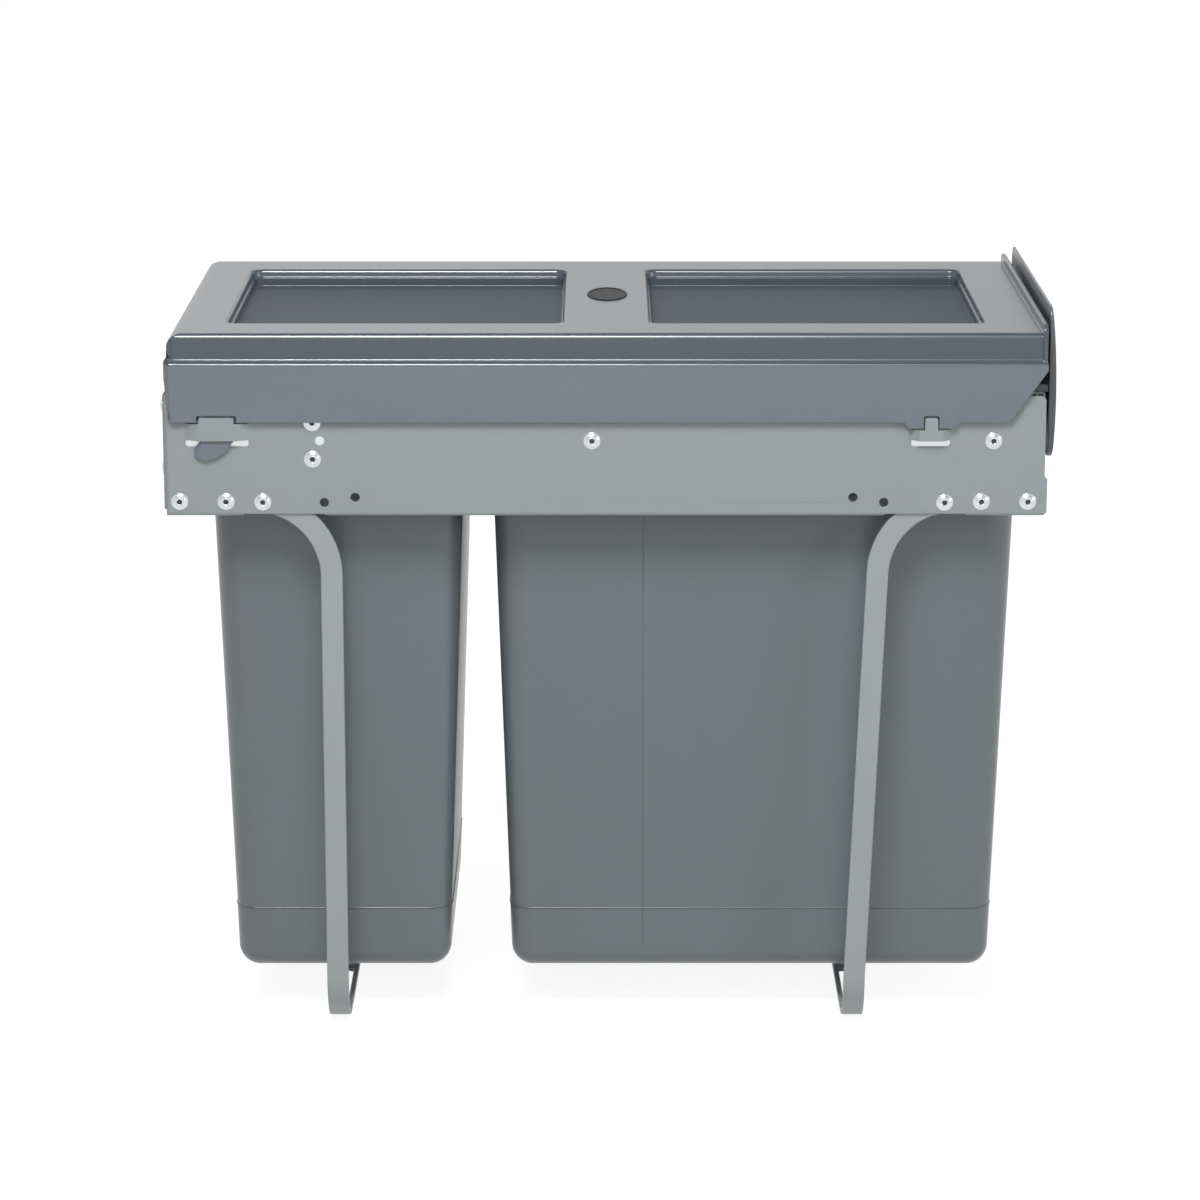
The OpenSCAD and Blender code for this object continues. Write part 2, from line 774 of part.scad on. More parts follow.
module carrier_divider() {
    x0 = small_bin_x1 + divider_inset;
    x1 = large_bin_x0 - divider_inset;
    color("#8f9597") along_y(-bar_half, bar_half) translate([(x0 + x1) / 2, cross_bar_top])
        for (s = [0, 1]) mirror([s, 0]) translate([-(x1 - x0) / 2, 0]) mirror([0, 1])
            folded_angle((x1 - x0) / 2 + eps, divider_lip, sheet, fold_radius);
}

module carrier_rivets() {
    color("#d9dcdf") for (far = [0, 1]) mirror([0, far, 0])
        for (x = carrier_rivet_x)
            translate([x, -rail_inside, slide_z]) rotate([90, 0, 0])
                blind_rivet(sheet + member_sheet, false);
}

// Bins

function draft_at(z) = (bin_top - z) * tan(bin_draft);

// Four corner posts of a bin at height z, w in from its outer wall
module bin_posts(x0, x1, z, w, r) {
    d = draft_at(z) + w;
    for (x = [x0 + d + r, x1 - d - r], y = [-bin_half + d + r, bin_half - d - r])
        translate([x, y, z]) cylinder(r = r, h = level, $fn = hull_fn);
}

// Round floor of a bin, w in from its outer wall
module bin_floor(x0, x1, w) {
    r = bin_floor_radius - w;
    z = bin_clearance + bin_floor_radius;
    d = draft_at(z) + w;
    for (x = [x0 + d + r, x1 - d - r], y = [-bin_half + d + r, bin_half - d - r])
        translate([x, y, z]) sphere(r, $fn = hull_fn);
}

module bin(x0, x1) {
    foot_z = bin_clearance + bin_foot_height;
    foot_r = bin_floor_radius + (bin_corner - bin_floor_radius) * bin_foot_height / bin_height;
    color("#6b7276") difference() {
        union() {
            hull() {
                bin_posts(x0, x1, bin_top, 0, bin_corner);
                bin_posts(x0, x1, foot_z, 0, foot_r);
            }
            hull() {
                bin_posts(x0, x1, foot_z + eps, -bin_foot_step, foot_r + bin_foot_step);
                bin_floor(x0, x1, -bin_foot_step);
            }
            along_z(bin_top, bin_top + bin_lip_thickness)
                round_rect(x0 - bin_lip, -bin_half - bin_lip, x1 + bin_lip, bin_half + bin_lip, bin_corner + bin_lip);
            along_z(bin_top + bin_lip_thickness - eps, bin_mouth)
                round_rect(x0, -bin_half, x1, bin_half, bin_corner);
        }
        hull() {
            bin_posts(x0, x1, bin_mouth + 1, bin_wall, bin_corner - bin_wall);
            bin_floor(x0, x1, bin_wall);
        }
    }
}

// Front plate: a shallow bulging tray with a shelf behind it

// The front plate's outer form, w in from its outside
module plate_form(w) {
    half = plate_half - w;
    intersection() {
        along_y(-half, half) translate([plate_crown - plate_radius, plate_crown_z])
            rotate(180) circle(plate_radius - w, $fn = 360);
        along_x(plate_back - (w > 0 ? 1 : 0), plate_back + 20)
            round_rect(-half, plate_bottom + w, half, plate_top - w, plate_corner - w);
    }
}

module front_plate() {
    color("#4f555a") difference() {
        union() {
            difference() {
                plate_form(0);
                plate_form(plate_wall);
            }
            translate([shelf_rear, -plate_half + 1, shelf_z])
                cube([plate_crown - plate_wall / 2 - shelf_rear, 2 * plate_half - 2, shelf]);
        }
        for (y = plate_screw_y) translate([plate_screw_x, y, shelf_z - eps])
            cylinder(d = plate_screw, h = shelf + 2 * eps);
    }
}

module front_plate_screws() {
    head = 1.8;
    slot = 0.9;
    color("#d9dcdf") for (y = plate_screw_y) translate([plate_screw_x, y, shelf_z]) {
        translate([0, 0, -6]) cylinder(d = plate_screw, h = shelf + 6);
        difference() {
            translate([0, 0, shelf]) cylinder(d = plate_screw_head, h = head);
            for (a = [0, 90]) rotate([0, 0, a])
                translate([-2, -slot / 2, shelf + head - slot]) cube([4, slot, 1]);
        }
    }
}

// Lid

// One side of the lid's cross-section, w in from its outer face
function lid_side(w, bottom) = concat(
    [[skirt_half - w, bottom]],
    arc([skirt_half - ledge_radius, ledge_z - ledge_radius], ledge_radius - min(w, ledge_radius - 0.4), 0, 75, 5)
        + [for (i = [0:5]) [-max(0, w - ledge_radius + 0.4), -max(0, w - ledge_radius + 0.4)]],
    [[band_half - w, ledge_z + 1.5 - w]],
    arc([band_half - lid_edge_radius, lid_top - lid_edge_radius], lid_edge_radius - w, 0, 90, 8)
);

module lid_section(w, bottom) {
    side = lid_side(w, bottom);
    polygon(concat(side, mirrored(side)));
}

// The lid's outer shape seen from the side
module lid_silhouette() {
    r = lid_rear_radius;
    low = 2.5;
    foot = 3;
    corner_back = 24.2;
    polygon(concat(
        arc([x_rear + low + foot, skirt_bottom + foot], foot, 270, 180, 4),
        [[x_rear, ledge_z - 8], [x_rear, ledge_z], [band_rear, ledge_z + 1.5]],
        arc([band_rear + r, lid_top - r], r, 180, 90, 8),
        [
            [flange_front, lid_top],
            [flange_front, ledge_z],
            [skirt_front, ledge_z - 1],
            [skirt_front, ledge_z - 4.4]
        ],
        arc([skirt_front - corner_back, skirt_bottom + skirt_corner], skirt_corner, 305, 270, 6)
    ));
}

// The lid's inside seen from the side, open below and at the front under the flange
module lid_inside_silhouette() {
    r = lid_rear_radius - lid_wall;
    polygon(concat(
        [
            [x_rear + lid_wall, skirt_bottom - 5],
            [x_rear + lid_wall, ledge_z - lid_wall],
            [band_rear + lid_wall, ledge_z + 1.5 - lid_wall]
        ],
        arc([band_rear + lid_wall + r, lid_top - lid_wall - r], r, 180, 90, 8),
        [
            [flange_rear, lid_top - lid_wall],
            [flange_rear, flange_bottom],
            [x_front + 10, flange_bottom],
            [x_front + 10, skirt_bottom - 5]
        ]
    ));
}

// Plan of the lid with round rear corners
module lid_plan(x0, half, r) {
    translate([x0 + r, -half]) square([x_front + 10 - x0, 2 * half]);
    translate([x0, -half + r]) square([r + 1, 2 * half - 2 * r]);
    for (y = [-half + r, half - r]) translate([x0 + r, y]) circle(r);
}

module lid_outer() {
    intersection() {
        along_x(x_rear, skirt_front) lid_section(0, skirt_bottom);
        along_y(-skirt_half, skirt_half) lid_silhouette();
        union() {
            along_z(skirt_bottom - 1, ledge_z + 1.5) lid_plan(x_rear, skirt_half, 4);
            along_z(ledge_z + 1, lid_top + 1) lid_plan(band_rear, band_half, 5);
        }
    }
}

module lid_inner() {
    intersection() {
        along_x(x_rear - 1, x_front + 10) lid_section(lid_wall, skirt_bottom - 5);
        along_y(-skirt_half, skirt_half) lid_inside_silhouette();
    }
}

module front_flange_plate() {
    half = band_half + 1;
    along_x(flange_rear, flange_front) {
        round_rect(-half, flange_bottom + 4, half, lid_top + front_lip_height, flange_corner);
        translate([-half, flange_bottom]) square([2 * half, flange_lap]);
    }
}

// A thin plate with round corners, as one level of a sunk panel
module pan_level(x0, grow, z) {
    r = pan_corner + grow;
    for (x = [x0 - grow + r, x0 + pan_length + grow - r], y = [-pan_half - grow + r, pan_half + grow - r])
        translate([x, y, z]) cylinder(r = r, h = level, $fn = hull_fn);
}

// The hollow of a sunk panel: a chamfered rim, a drafted wall and a narrower floor below a step
module pan_cavity(x0) {
    edge = 1.2;
    step_z = lid_top - pan_step_depth;
    inset = pan_step + pan_draft;
    hull() {
        pan_level(x0, edge + 0.3, lid_top + 0.3);
        pan_level(x0, 0, lid_top - edge);
    }
    hull() {
        pan_level(x0, 0, lid_top - edge + level);
        pan_level(x0, -pan_draft, step_z);
    }
    along_z(lid_top - pan_depth, step_z + 0.1)
        round_rect(x0 + inset, -pan_half + inset, x0 + pan_length - inset, pan_half - inset, pan_corner - inset);
}

// The outside of a sunk panel, under the lid
module pan_body(x0) {
    hull() {
        pan_level(x0, lid_wall, lid_top - lid_wall + 0.1);
        pan_level(x0, lid_wall - pan_draft, lid_top - pan_step_depth - lid_wall);
        pan_level(x0, lid_wall - pan_draft - pan_step, lid_top - pan_depth - lid_wall);
    }
}

// Notches that let the skirt pass the loops' tabs
module skirt_notches() {
    top = loop_top + 0.9;
    along_y(-skirt_half - 1, -y_panel - eps) {
        round_rect(rear_loop_x - rear_loop_flat / 2 - notch_room, skirt_bottom - 10,
                   rear_loop_x + rear_loop_flat / 2 + notch_room, top, notch_corner);
        round_rect(front_loop_x - front_loop_tab / 2 - tab_room, skirt_bottom - 10,
                   front_loop_x + front_loop_tab / 2 + tab_room, top, notch_corner);
    }
}

// A relief inside the skirt that clears the slide rivet behind it
module skirt_relief() {
    half = rivet_head / 2 + 1.2;
    top = slide_z + slide_rivet_rise + half;
    along_y(-rivet_relief, -skirt_inside + eps)
        round_rect(slide_rivet_rear - half, skirt_bottom - 10, slide_rivet_rear + half, top, relief_corner);
}

// The skirt's flap beside the front loop
module skirt_flap() {
    chamfer = 2.5;
    along_y(-skirt_half, -skirt_inside) polygon([
        [front_loop_x - flap_half, skirt_bottom + 1],
        [front_loop_x - flap_half, skirt_bottom],
        [front_loop_x - flap_half + chamfer, skirt_bottom - flap_drop],
        [front_loop_x + flap_half - chamfer, skirt_bottom - flap_drop],
        [front_loop_x + flap_half, skirt_bottom],
        [front_loop_x + flap_half, skirt_bottom + 1]
    ]);
}

// Tongues that go down behind the loops. The rear one ends in a finger tab, thinned
// towards the rear so that it can follow the loop's sloped end when the lid is lifted.
module lid_tongues() {
    rear_half = rear_loop_flat / 2 - 1.1;
    front_half = front_loop_tab / 2 - 0.4;
    slope = (rear_loop_length - rear_loop_flat + sheet) / 2 / (loop_room + sheet);
    thin_x = rear_half + (tongue_y1 - tongue_y0) * slope;
    along_y(-tongue_y1, -tongue_y0) {
        translate([rear_loop_x - rear_half, loop_z - 1]) square([2 * rear_half, loop_top - loop_z + 5]);
        translate([front_loop_x - front_half, loop_z + 0.4]) square([2 * front_half, loop_top - loop_z + 3.6]);
    }
    intersection() {
        along_y(-tongue_y1, -tongue_y0) intersection() {
            translate([rear_loop_x - finger_offset, loop_z + 5]) circle(finger_radius);
            polygon([
                [rear_loop_x - rear_half, loop_z],
                [rear_loop_x - rear_half - finger_tip, loop_z - 8],
                [rear_loop_x - rear_half - finger_tip, loop_z - 12],
                [rear_loop_x + rear_half, loop_z - 12],
                [rear_loop_x + rear_half, loop_z]
            ]);
        }
        along_z(loop_z - 20, loop_z + 1) translate([rear_loop_x, 0]) polygon([
            [rear_half, -tongue_y0],
            [-thin_x, -tongue_y0],
            [-rear_half, -tongue_y1],
            [rear_half, -tongue_y1]
        ]);
    }
}

// Ribs inside the skirt that stand on the side panels' top edges
module lid_rest_ribs() {
    for (x = lid_rib_x) translate([x, -skirt_inside - eps, panel_top])
        cube([lid_rib, skirt_inside - y_inside + sheet + eps, ledge_rise - lid_wall + eps]);
}

module badge_oval(grow) {
    n = 60;
    polygon([for (i = [0:n - 1])
        [(badge_length / 2 + grow) * cos(360 * i / n), (badge_width / 2 + grow) * sin(360 * i / n)]]);
}

module lid() {
    color("#7a828a") difference() {
        union() {
            difference() {
                union() {
                    difference() {
                        lid_outer();
                        lid_inner();
                    }
                    for (x0 = pan_x) pan_body(x0);
                    for (far = [0, 1]) mirror([0, far, 0]) {
                        skirt_flap();
                        lid_rest_ribs();
                    }
                    front_flange_plate();
                }
                for (far = [0, 1]) mirror([0, far, 0]) {
                    skirt_notches();
                    skirt_relief();
                }
                translate([x_rear - 1, -skirt_inside, skirt_bottom - 10])
                    cube([6, 2 * skirt_inside, rear_wall_bottom - skirt_bottom + 10]);
            }
            for (far = [0, 1]) mirror([0, far, 0]) lid_tongues();
        }
        for (x0 = pan_x) pan_cavity(x0);
        along_z(lid_top - badge_depth, lid_top + 1) translate([badge_x, badge_y]) badge_oval(0);
    }
}

module lid_badge() {
    ring = 1.4;
    color("#3f4347") {
        along_z(lid_top - badge_depth, lid_top + 0.2) translate([badge_x, badge_y]) badge_oval(0);
        along_z(lid_top, lid_top + 0.6) translate([badge_x, badge_y]) difference() {
            badge_oval(0);
            badge_oval(-ring);
        }
    }
}

side_panel();  // side_panel_near
far_side() side_panel();  // side_panel_far
rear_cross_panel();
leg(-1);  // rear_leg
leg(1);  // front_leg
frame_rivets();
slide_outer();  // slide_outer_near
far_side() slide_outer();  // slide_outer_far
slide_bumpers();
slide_middle();  // slide_middle_near
far_side() slide_middle();  // slide_middle_far
slide_inner();  // slide_inner_near
far_side() slide_inner();  // slide_inner_far
cage(member_sheet + member_gap, outer_ball_w);  // outer_cage_near
far_side() cage(member_sheet + member_gap, outer_ball_w);  // outer_cage_far
balls(outer_ball_w);  // outer_balls_near
far_side() balls(outer_ball_w);  // outer_balls_far
cage(inner_cage_web, inner_ball_w);  // inner_cage_near
far_side() cage(inner_cage_web, inner_ball_w);  // inner_cage_far
balls(inner_ball_w);  // inner_balls_near
far_side() balls(inner_ball_w);  // inner_balls_far
carrier_rail();  // carrier_rail_near
far_side() carrier_rail();  // carrier_rail_far
carrier_front_bar();
carrier_rear_bar();
carrier_divider();
carrier_rivets();
bin(small_bin_x0, small_bin_x1);  // small_bin
bin(large_bin_x0, large_bin_x1);  // large_bin
front_plate();
front_plate_screws();
lid();
lid_badge();
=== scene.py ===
"""Dresses a pull-out waste bin unit: powder-coated sheet steel, moulded plastic and
zinc-plated ball-bearing slides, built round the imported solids. Sizes are in metres."""

import json
import math

import bmesh
import bpy
from bpy.props import FloatProperty, FloatVectorProperty, IntProperty, PointerProperty
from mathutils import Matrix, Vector
from mathutils.bvhtree import BVHTree

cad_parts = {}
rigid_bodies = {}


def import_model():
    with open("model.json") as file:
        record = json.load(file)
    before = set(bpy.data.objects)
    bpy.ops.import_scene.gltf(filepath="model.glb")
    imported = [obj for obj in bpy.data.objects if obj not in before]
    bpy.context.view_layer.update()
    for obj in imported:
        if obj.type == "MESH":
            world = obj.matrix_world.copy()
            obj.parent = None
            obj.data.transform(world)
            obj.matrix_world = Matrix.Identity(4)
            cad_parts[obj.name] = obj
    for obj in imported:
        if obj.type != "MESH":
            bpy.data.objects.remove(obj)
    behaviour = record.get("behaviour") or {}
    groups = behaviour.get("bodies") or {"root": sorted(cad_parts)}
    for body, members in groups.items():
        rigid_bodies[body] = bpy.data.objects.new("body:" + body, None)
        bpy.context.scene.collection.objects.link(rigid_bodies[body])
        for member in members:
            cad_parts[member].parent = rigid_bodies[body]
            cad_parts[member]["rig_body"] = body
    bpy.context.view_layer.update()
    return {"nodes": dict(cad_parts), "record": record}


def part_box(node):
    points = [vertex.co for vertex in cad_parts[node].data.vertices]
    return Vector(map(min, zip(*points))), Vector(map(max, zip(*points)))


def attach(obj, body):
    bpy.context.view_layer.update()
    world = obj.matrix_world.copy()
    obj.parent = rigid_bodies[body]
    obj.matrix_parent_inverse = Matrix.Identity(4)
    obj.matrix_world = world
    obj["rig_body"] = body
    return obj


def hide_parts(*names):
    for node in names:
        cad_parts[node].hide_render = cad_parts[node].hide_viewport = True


bl_info = {
    "name": "Pull-out Bin Unit Finish",
    "version": (1, 0, 0),
    "blender": (4, 5, 0),
    "location": "View3D > Sidebar > Bin Unit",
    "description": "Finishes, fasteners and studio for a pull-out waste bin unit",
    "category": "Object",
}

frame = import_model()
NODES = frame["nodes"]
SLOT_OF = {s["node"]: s["material_slot"] for s in frame["record"]["subparts"]}
MM = 0.001
PIECE = "{}_finished"


def linear(code):
    """An sRGB hex colour as linear red, green and blue."""
    channels = [int(code[i:i + 2], 16) / 255 for i in (1, 3, 5)]
    return tuple(c / 12.92 if c <= 0.04045 else ((c + 0.055) / 1.055) ** 2.4 for c in channels)


def colour(name, description, code):
    """A colour property with an sRGB hex default."""
    return FloatVectorProperty(
        name=name, description=description, subtype="COLOR", size=3, min=0, max=1,
        default=linear(code))


def length(name, description, millimetres, low=0.0, high=50.0):
    """A length property with its default and limits in millimetres."""
    return FloatProperty(
        name=name, description=description, subtype="DISTANCE", unit="LENGTH",
        default=millimetres * MM, min=low * MM, max=high * MM, precision=5)


# Sizes and colours that a user would change


class BinUnitColours(bpy.types.PropertyGroup):
    """Colours of the unit's finishes"""

    panels: colour("Panels", "Powder coat on the side panels and the carrier", "#93999C")
    # Painted light: the panels' powder drawn a little lighter for the legs
    legs: colour("Legs", "Powder coat on the legs", "#9DA2A4")
    lid: colour("Lid", "Slate ABS of the lid", "#4C545D")
    # Painted light: the skirt is the same slate ABS as the lid, drawn paler as a painted sheen
    skirt: colour("Lid skirt", "Etched lower band of the lid, which looks paler", "#6D757F")
    pan: colour("Lid panels", "Matt floors of the lid's sunk panels", "#4C535A")
    bins: colour("Bins", "Dark grey polypropylene of the bins", "#6A7175")
    plate: colour("Front plate", "Dark ABS of the front plate", "#5C6166")
    badge: colour("Badge", "Oval insert in the lid", "#1C1E21")
    zinc: colour("Zinc", "Bright zinc on rivets and screws", "#CFD2D5")
    slides: colour("Slides", "Pale zinc on the slides' members", "#E0E2E4")
    cage: colour("Cages", "Yellow zinc on the ball cages", "#B4A77A")
    rubber: colour("Rubber", "Buffers at the slides' rear ends", "#262829")
    floor: colour("Floor", "Studio floor", "#EDEDEB")


class BinUnitSizes(bpy.types.PropertyGroup):
    """Sizes of the edges and small details"""

    plastic_edge: length("Plastic edge", "Radius left on moulded edges", 0.6, 0.1, 1.0)
    bin_edge: length("Bin edge", "Radius on the bins' rims and steps", 0.5, 0.1, 1.0)
    sheet_edge: length("Sheet edge", "Radius that deburring leaves on sheet steel", 0.22, 0.05, 0.5)
    bar_edge: length("Bar edge", "Radius on the legs' flat bar", 0.8, 0.1, 1.2)
    rivet_head: length("Rivet head", "Diameter of the blind rivets' heads", 9.4, 8, 10)
    rivet_dome: length("Rivet dome", "Height of the blind rivets' heads", 1.3, 0.8, 2)
    rivet_shank: length("Rivet shank", "Diameter of the blind rivets' shanks", 4.8, 3, 5)
    rivet_bore: length("Rivet bore", "Hole that the mandrel leaves", 2.8, 1.5, 3)
    seam_height: length("Seam height", "How far the mould seam stands out", 0.32, 0.05, 0.4)
    seam_width: length("Seam width", "Width of the mould seam", 0.8, 0.2, 2)


class BinUnitStudio(bpy.types.PropertyGroup):
    """Light and camera"""

    key_power: FloatProperty(
        name="Key power", description="Power of the softbox above the middle", unit="POWER",
        default=9.0, min=0, max=500)
    left_power: FloatProperty(
        name="Left power", description="Power of the softbox high on the left", unit="POWER",
        default=6.5, min=0, max=500)
    side_power: FloatProperty(
        name="Side power", description="Power of the light on the right", unit="POWER",
        default=11.0, min=0, max=500)
    back_power: FloatProperty(
        name="Back power", description="Power of the softbox behind", unit="POWER",
        default=9.0, min=0, max=500)
    strip_power: FloatProperty(
        name="Strip power", description="Power of the strip that only draws glints on edges",
        unit="POWER", default=40.0, min=0, max=500)
    world_light: FloatProperty(
        name="Room light", description="Strength of the even light all round",
        default=0.34, min=0, max=2)
    ceiling: FloatProperty(
        name="Ceiling", description="Brightness of the ceiling in reflections",
        default=0.25, min=0, max=1)
    lens: FloatProperty(
        name="Lens", description="Focal length of the camera", subtype="DISTANCE_CAMERA",
        default=125.13, min=20, max=300)
    seed: IntProperty(
        name="Seed", description="Chooses how the rivets are turned", default=7, min=0)


# Camera and light

CAMERA_PLACE = (-0.0035, -2.3462, 0.7904)
CAMERA_TILT = math.radians(76.293)
SENSOR_WIDTH = 36
# Where every lamp points
AIM = Vector((0, 0, 0.22))
# Each lamp's place and size
LAMPS = {
    "key": ((-0.06, -0.8, 1.3), (0.45, 0.45)),
    "left": ((-0.5, -1.25, 1.9), (0.6, 0.6)),
    "side": ((2.2, -1.3, 0.9), (0.5, 0.5)),
    "back": ((-0.6, 2.3, 2.0), (1.2, 1.2)),
    "strip": ((-0.24, -1.25, 1.9), (0.46, 0.2)),
}
# How high a reflected ray points where the ceiling starts, and where it is darkest
CEILING_START, CEILING_FULL = 0.35, 0.8
FLOOR_HALF = 7.0
# How far the floor lies below the legs, so that the two don't flicker
FLOOR_DROP = 0.3 * MM
# The floor's own light, and its share of what the camera sees: together they reach white
FLOOR_GLOW, FLOOR_SHARE = 1.44, 0.62

# Meshes

# Points nearer than this are one, and faces flatter than this are one
WELD = 0.02 * MM
FLAT = math.radians(0.2)
# Edges sharper than this are rounded
SHARP = math.radians(30)
# Height of the ledge round the lid, below which its colour is drawn paler, a painted sheen
LEDGE = 379.2 * MM
# Depth of the lid's sunk floors below the badge's top
PAN_FLOOR = 10.2 * MM
# How far the lid's rims reach in from its rear end, its front end and its sides
REAR_RIM, FRONT_RIM, SIDE_RIM = 11.6 * MM, 6.8 * MM, 10 * MM
# Where the large bin's mould seam stands along the unit, and how many steps it climbs in
SEAM_X = 20.7 * MM
SEAM_LEVELS = 60
# A blind rivet's head from its rim to the bore: shares of its radius and of its height
RIVET_HEAD = (
    (0.98, 0), (1, 0.08), (0.995, 0.2), (0.97, 0.29), (0.93, 0.34), (0.86, 0.37),
    (0.81, 0.4), (0.775, 0.47), (0.74, 0.57), (0.7, 0.69), (0.66, 0.8), (0.625, 0.85),
    (0.58, 0.87))


def unit_colours():
    return bpy.context.scene.bin_unit_colours


def unit_sizes():
    return bpy.context.scene.bin_unit_sizes


def unit_studio():
    return bpy.context.scene.bin_unit_studio


def welded(node):
    """A copy of a CAD node's mesh with its triangles joined and its flat areas made whole."""
    source = NODES[node].data
    bm = bmesh.new()
    points = [bm.verts.new(v.co) for v in source.vertices]
    for face in source.polygons:
        bm.faces.new([points[i] for i in face.vertices])
    bmesh.ops.remove_doubles(bm, verts=bm.verts, dist=WELD)
    bmesh.ops.dissolve_limit(bm, angle_limit=FLAT, verts=bm.verts, edges=bm.edges)
    return bm


def new_piece(name, mesh, material):
    """An object at the origin with one material."""
    piece = bpy.data.objects.new(name, mesh)
    bpy.context.scene.collection.objects.link(piece)
    mesh.materials.clear()
    mesh.materials.append(material)
    return piece


def baked(piece, name):
    """The piece with its modifiers turned into plain mesh."""
    graph = bpy.context.evaluated_depsgraph_get()
    mesh = bpy.data.meshes.new_from_object(piece.evaluated_get(graph), depsgraph=graph)
    mesh.name = name
    material = piece.data.materials[0]
    bpy.data.objects.remove(piece)
    return new_piece(name, mesh, material)


def settle(piece, body, slot, *nodes):
    """Lets a piece ride on its body, and hides the CAD nodes it stands for. slot is not used."""
    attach(piece, body)
    if nodes:
        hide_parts(*nodes)
    return piece


def softened(node, material, width, segments=2, cuts=()):
    """A CAD node with small round edges that catch the light, in its finish. cuts are points
    and directions of planes that part long faces, so that a corner's shading stays there."""
    bm = welded(node)
    for point, direction in cuts:
        bmesh.ops.bisect_plane(
            bm, geom=[*bm.verts, *bm.edges, *bm.faces], plane_co=point, plane_no=direction)
    mesh = bpy.data.meshes.new(node)
    bm.to_mesh(mesh)
    bm.free()
    mesh.shade_smooth()
    piece = new_piece(node + "_raw", mesh, material)
    bevel = piece.modifiers.new("edges", "BEVEL")
    bevel.width = width
    bevel.segments = segments
    bevel.limit_method = "ANGLE"
    bevel.angle_limit = SHARP
    bevel.use_clamp_overlap = False
    bevel.miter_outer = "MITER_ARC"
    normals = piece.modifiers.new("normals", "WEIGHTED_NORMAL")
    normals.mode = "FACE_AREA"
    normals.weight = 50
    shape = BVHTree.FromObject(NODES[node], bpy.context.evaluated_depsgraph_get())
    piece = baked(piece, PIECE.format(node))
    for vertex in piece.data.vertices:
        point, _, _, distance = shape.find_nearest(vertex.co)
        if distance > width:
            vertex.co = point
    return settle(piece, NODES[node]["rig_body"], SLOT_OF[node], node)


def islands(node):
    """The lowest and highest corner of each separate solid of a node."""
    bm = welded(node)
    left = set(bm.verts)
    boxes = []
    while left:
        stack = [left.pop()]
        found = []
        while stack:
            vertex = stack.pop()
            found.append(vertex.co.copy())
            for edge in vertex.link_edges:
                other = edge.other_vert(vertex)
                if other in left:
                    left.remove(other)
                    stack.append(other)
        boxes.append((
            Vector([min(p[i] for p in found) for i in range(3)]),
            Vector([max(p[i] for p in found) for i in range(3)])))
    bm.free()
    return sorted(boxes, key=lambda b: tuple(round(c, 5) for c in b[0]))


def lathe(name, profile, steps=48):
    """A closed mesh turned about Z from (radius, height) points. A radius of 0 ends it."""
    bm = bmesh.new()
    rings = []
    for radius, height in profile:
        if radius == 0:
            rings.append([bm.verts.new((0, 0, height))])
        else:
            rings.append([
                bm.verts.new((radius * math.cos(a), radius * math.sin(a), height))
                for a in [math.tau * i / steps for i in range(steps)]])
    for low, high in zip(rings, rings[1:]):
        for i in range(steps):
            j = (i + 1) % steps
            if len(low) == 1:
                bm.faces.new((low[0], high[i], high[j]))
            elif len(high) == 1:
                bm.faces.new((low[i], low[j], high[0]))
            else:
                bm.faces.new((low[i], low[j], high[j], high[i]))
    bmesh.ops.recalc_face_normals(bm, faces=bm.faces)
    mesh = bpy.data.meshes.new(name)
    bm.to_mesh(mesh)
    bm.free()
    mesh.shade_smooth()
    return mesh


# Nodes

# Sockets that share a name in a Mix node set to colours, and in a Random Value node of floats
MIX_FACTOR, MIX_A, MIX_B, MIX_RESULT = 0, 6, 7, 2
RANDOM_LOW, RANDOM_HIGH, RANDOM_VALUE = 2, 3, 1


def add_node(tree, kind, inputs=None, **settings):
    """Adds a node. Its settings are attributes, and each input is a value or a socket to link."""
    node = tree.nodes.new(kind)
    for name, value in settings.items():
        setattr(node, name, value)
    for name, value in (inputs or {}).items():
        if isinstance(value, bpy.types.NodeSocket):
            tree.links.new(value, node.inputs[name])
        else:
            node.inputs[name].default_value = value
    return node


def new_material(name):
    """An empty node material, its tree and its output."""
    material = bpy.data.materials.new(name)
    material.use_nodes = True
    tree = material.node_tree
    tree.nodes.clear()
    return material, tree, add_node(tree, "ShaderNodeOutputMaterial")


def noise(tree, size, detail=2.0, stretch=(1, 1, 1)):
    """Noise whose blotches are about size metres across, on Object coordinates."""
    place = add_node(tree, "ShaderNodeTexCoord")
    mapping = add_node(tree, "ShaderNodeMapping", {
        "Vector": place.outputs["Object"], "Scale": [1 / s for s in stretch]})
    return add_node(tree, "ShaderNodeTexNoise", {
        "Vector": mapping.outputs["Vector"], "Scale": 1 / size, "Detail": detail})


def between(tree, value, low, high):
    """Turns a 0 to 1 value into one from low to high."""
    return add_node(tree, "ShaderNodeMapRange", {
        "Value": value, "To Min": low, "To Max": high}).outputs["Result"]


def tinted(tree, rgb, factor, change):
    """A colour that grows lighter and darker by change as factor goes from 0 to 1."""
    dark = [c * (1 - change) for c in rgb]
    light = [min(1, c * (1 + change)) for c in rgb]
    return add_node(tree, "ShaderNodeMix", {
        MIX_FACTOR: factor, MIX_A: (*dark, 1), MIX_B: (*light, 1)},
        data_type="RGBA").outputs[MIX_RESULT]


def bumped(tree, layers):
    """A normal made of height layers: (socket, depth in metres, strength)."""
    normal = None
    for height, depth, strength in layers:
        inputs = {"Height": height, "Distance": depth, "Strength": strength}
        if normal:
            inputs["Normal"] = normal
        normal = add_node(tree, "ShaderNodeBump", inputs).outputs["Normal"]
    return normal


# Refractive indices
POLYESTER, ABS, POLYPROPYLENE, RUBBER = 1.5, 1.54, 1.49, 1.52


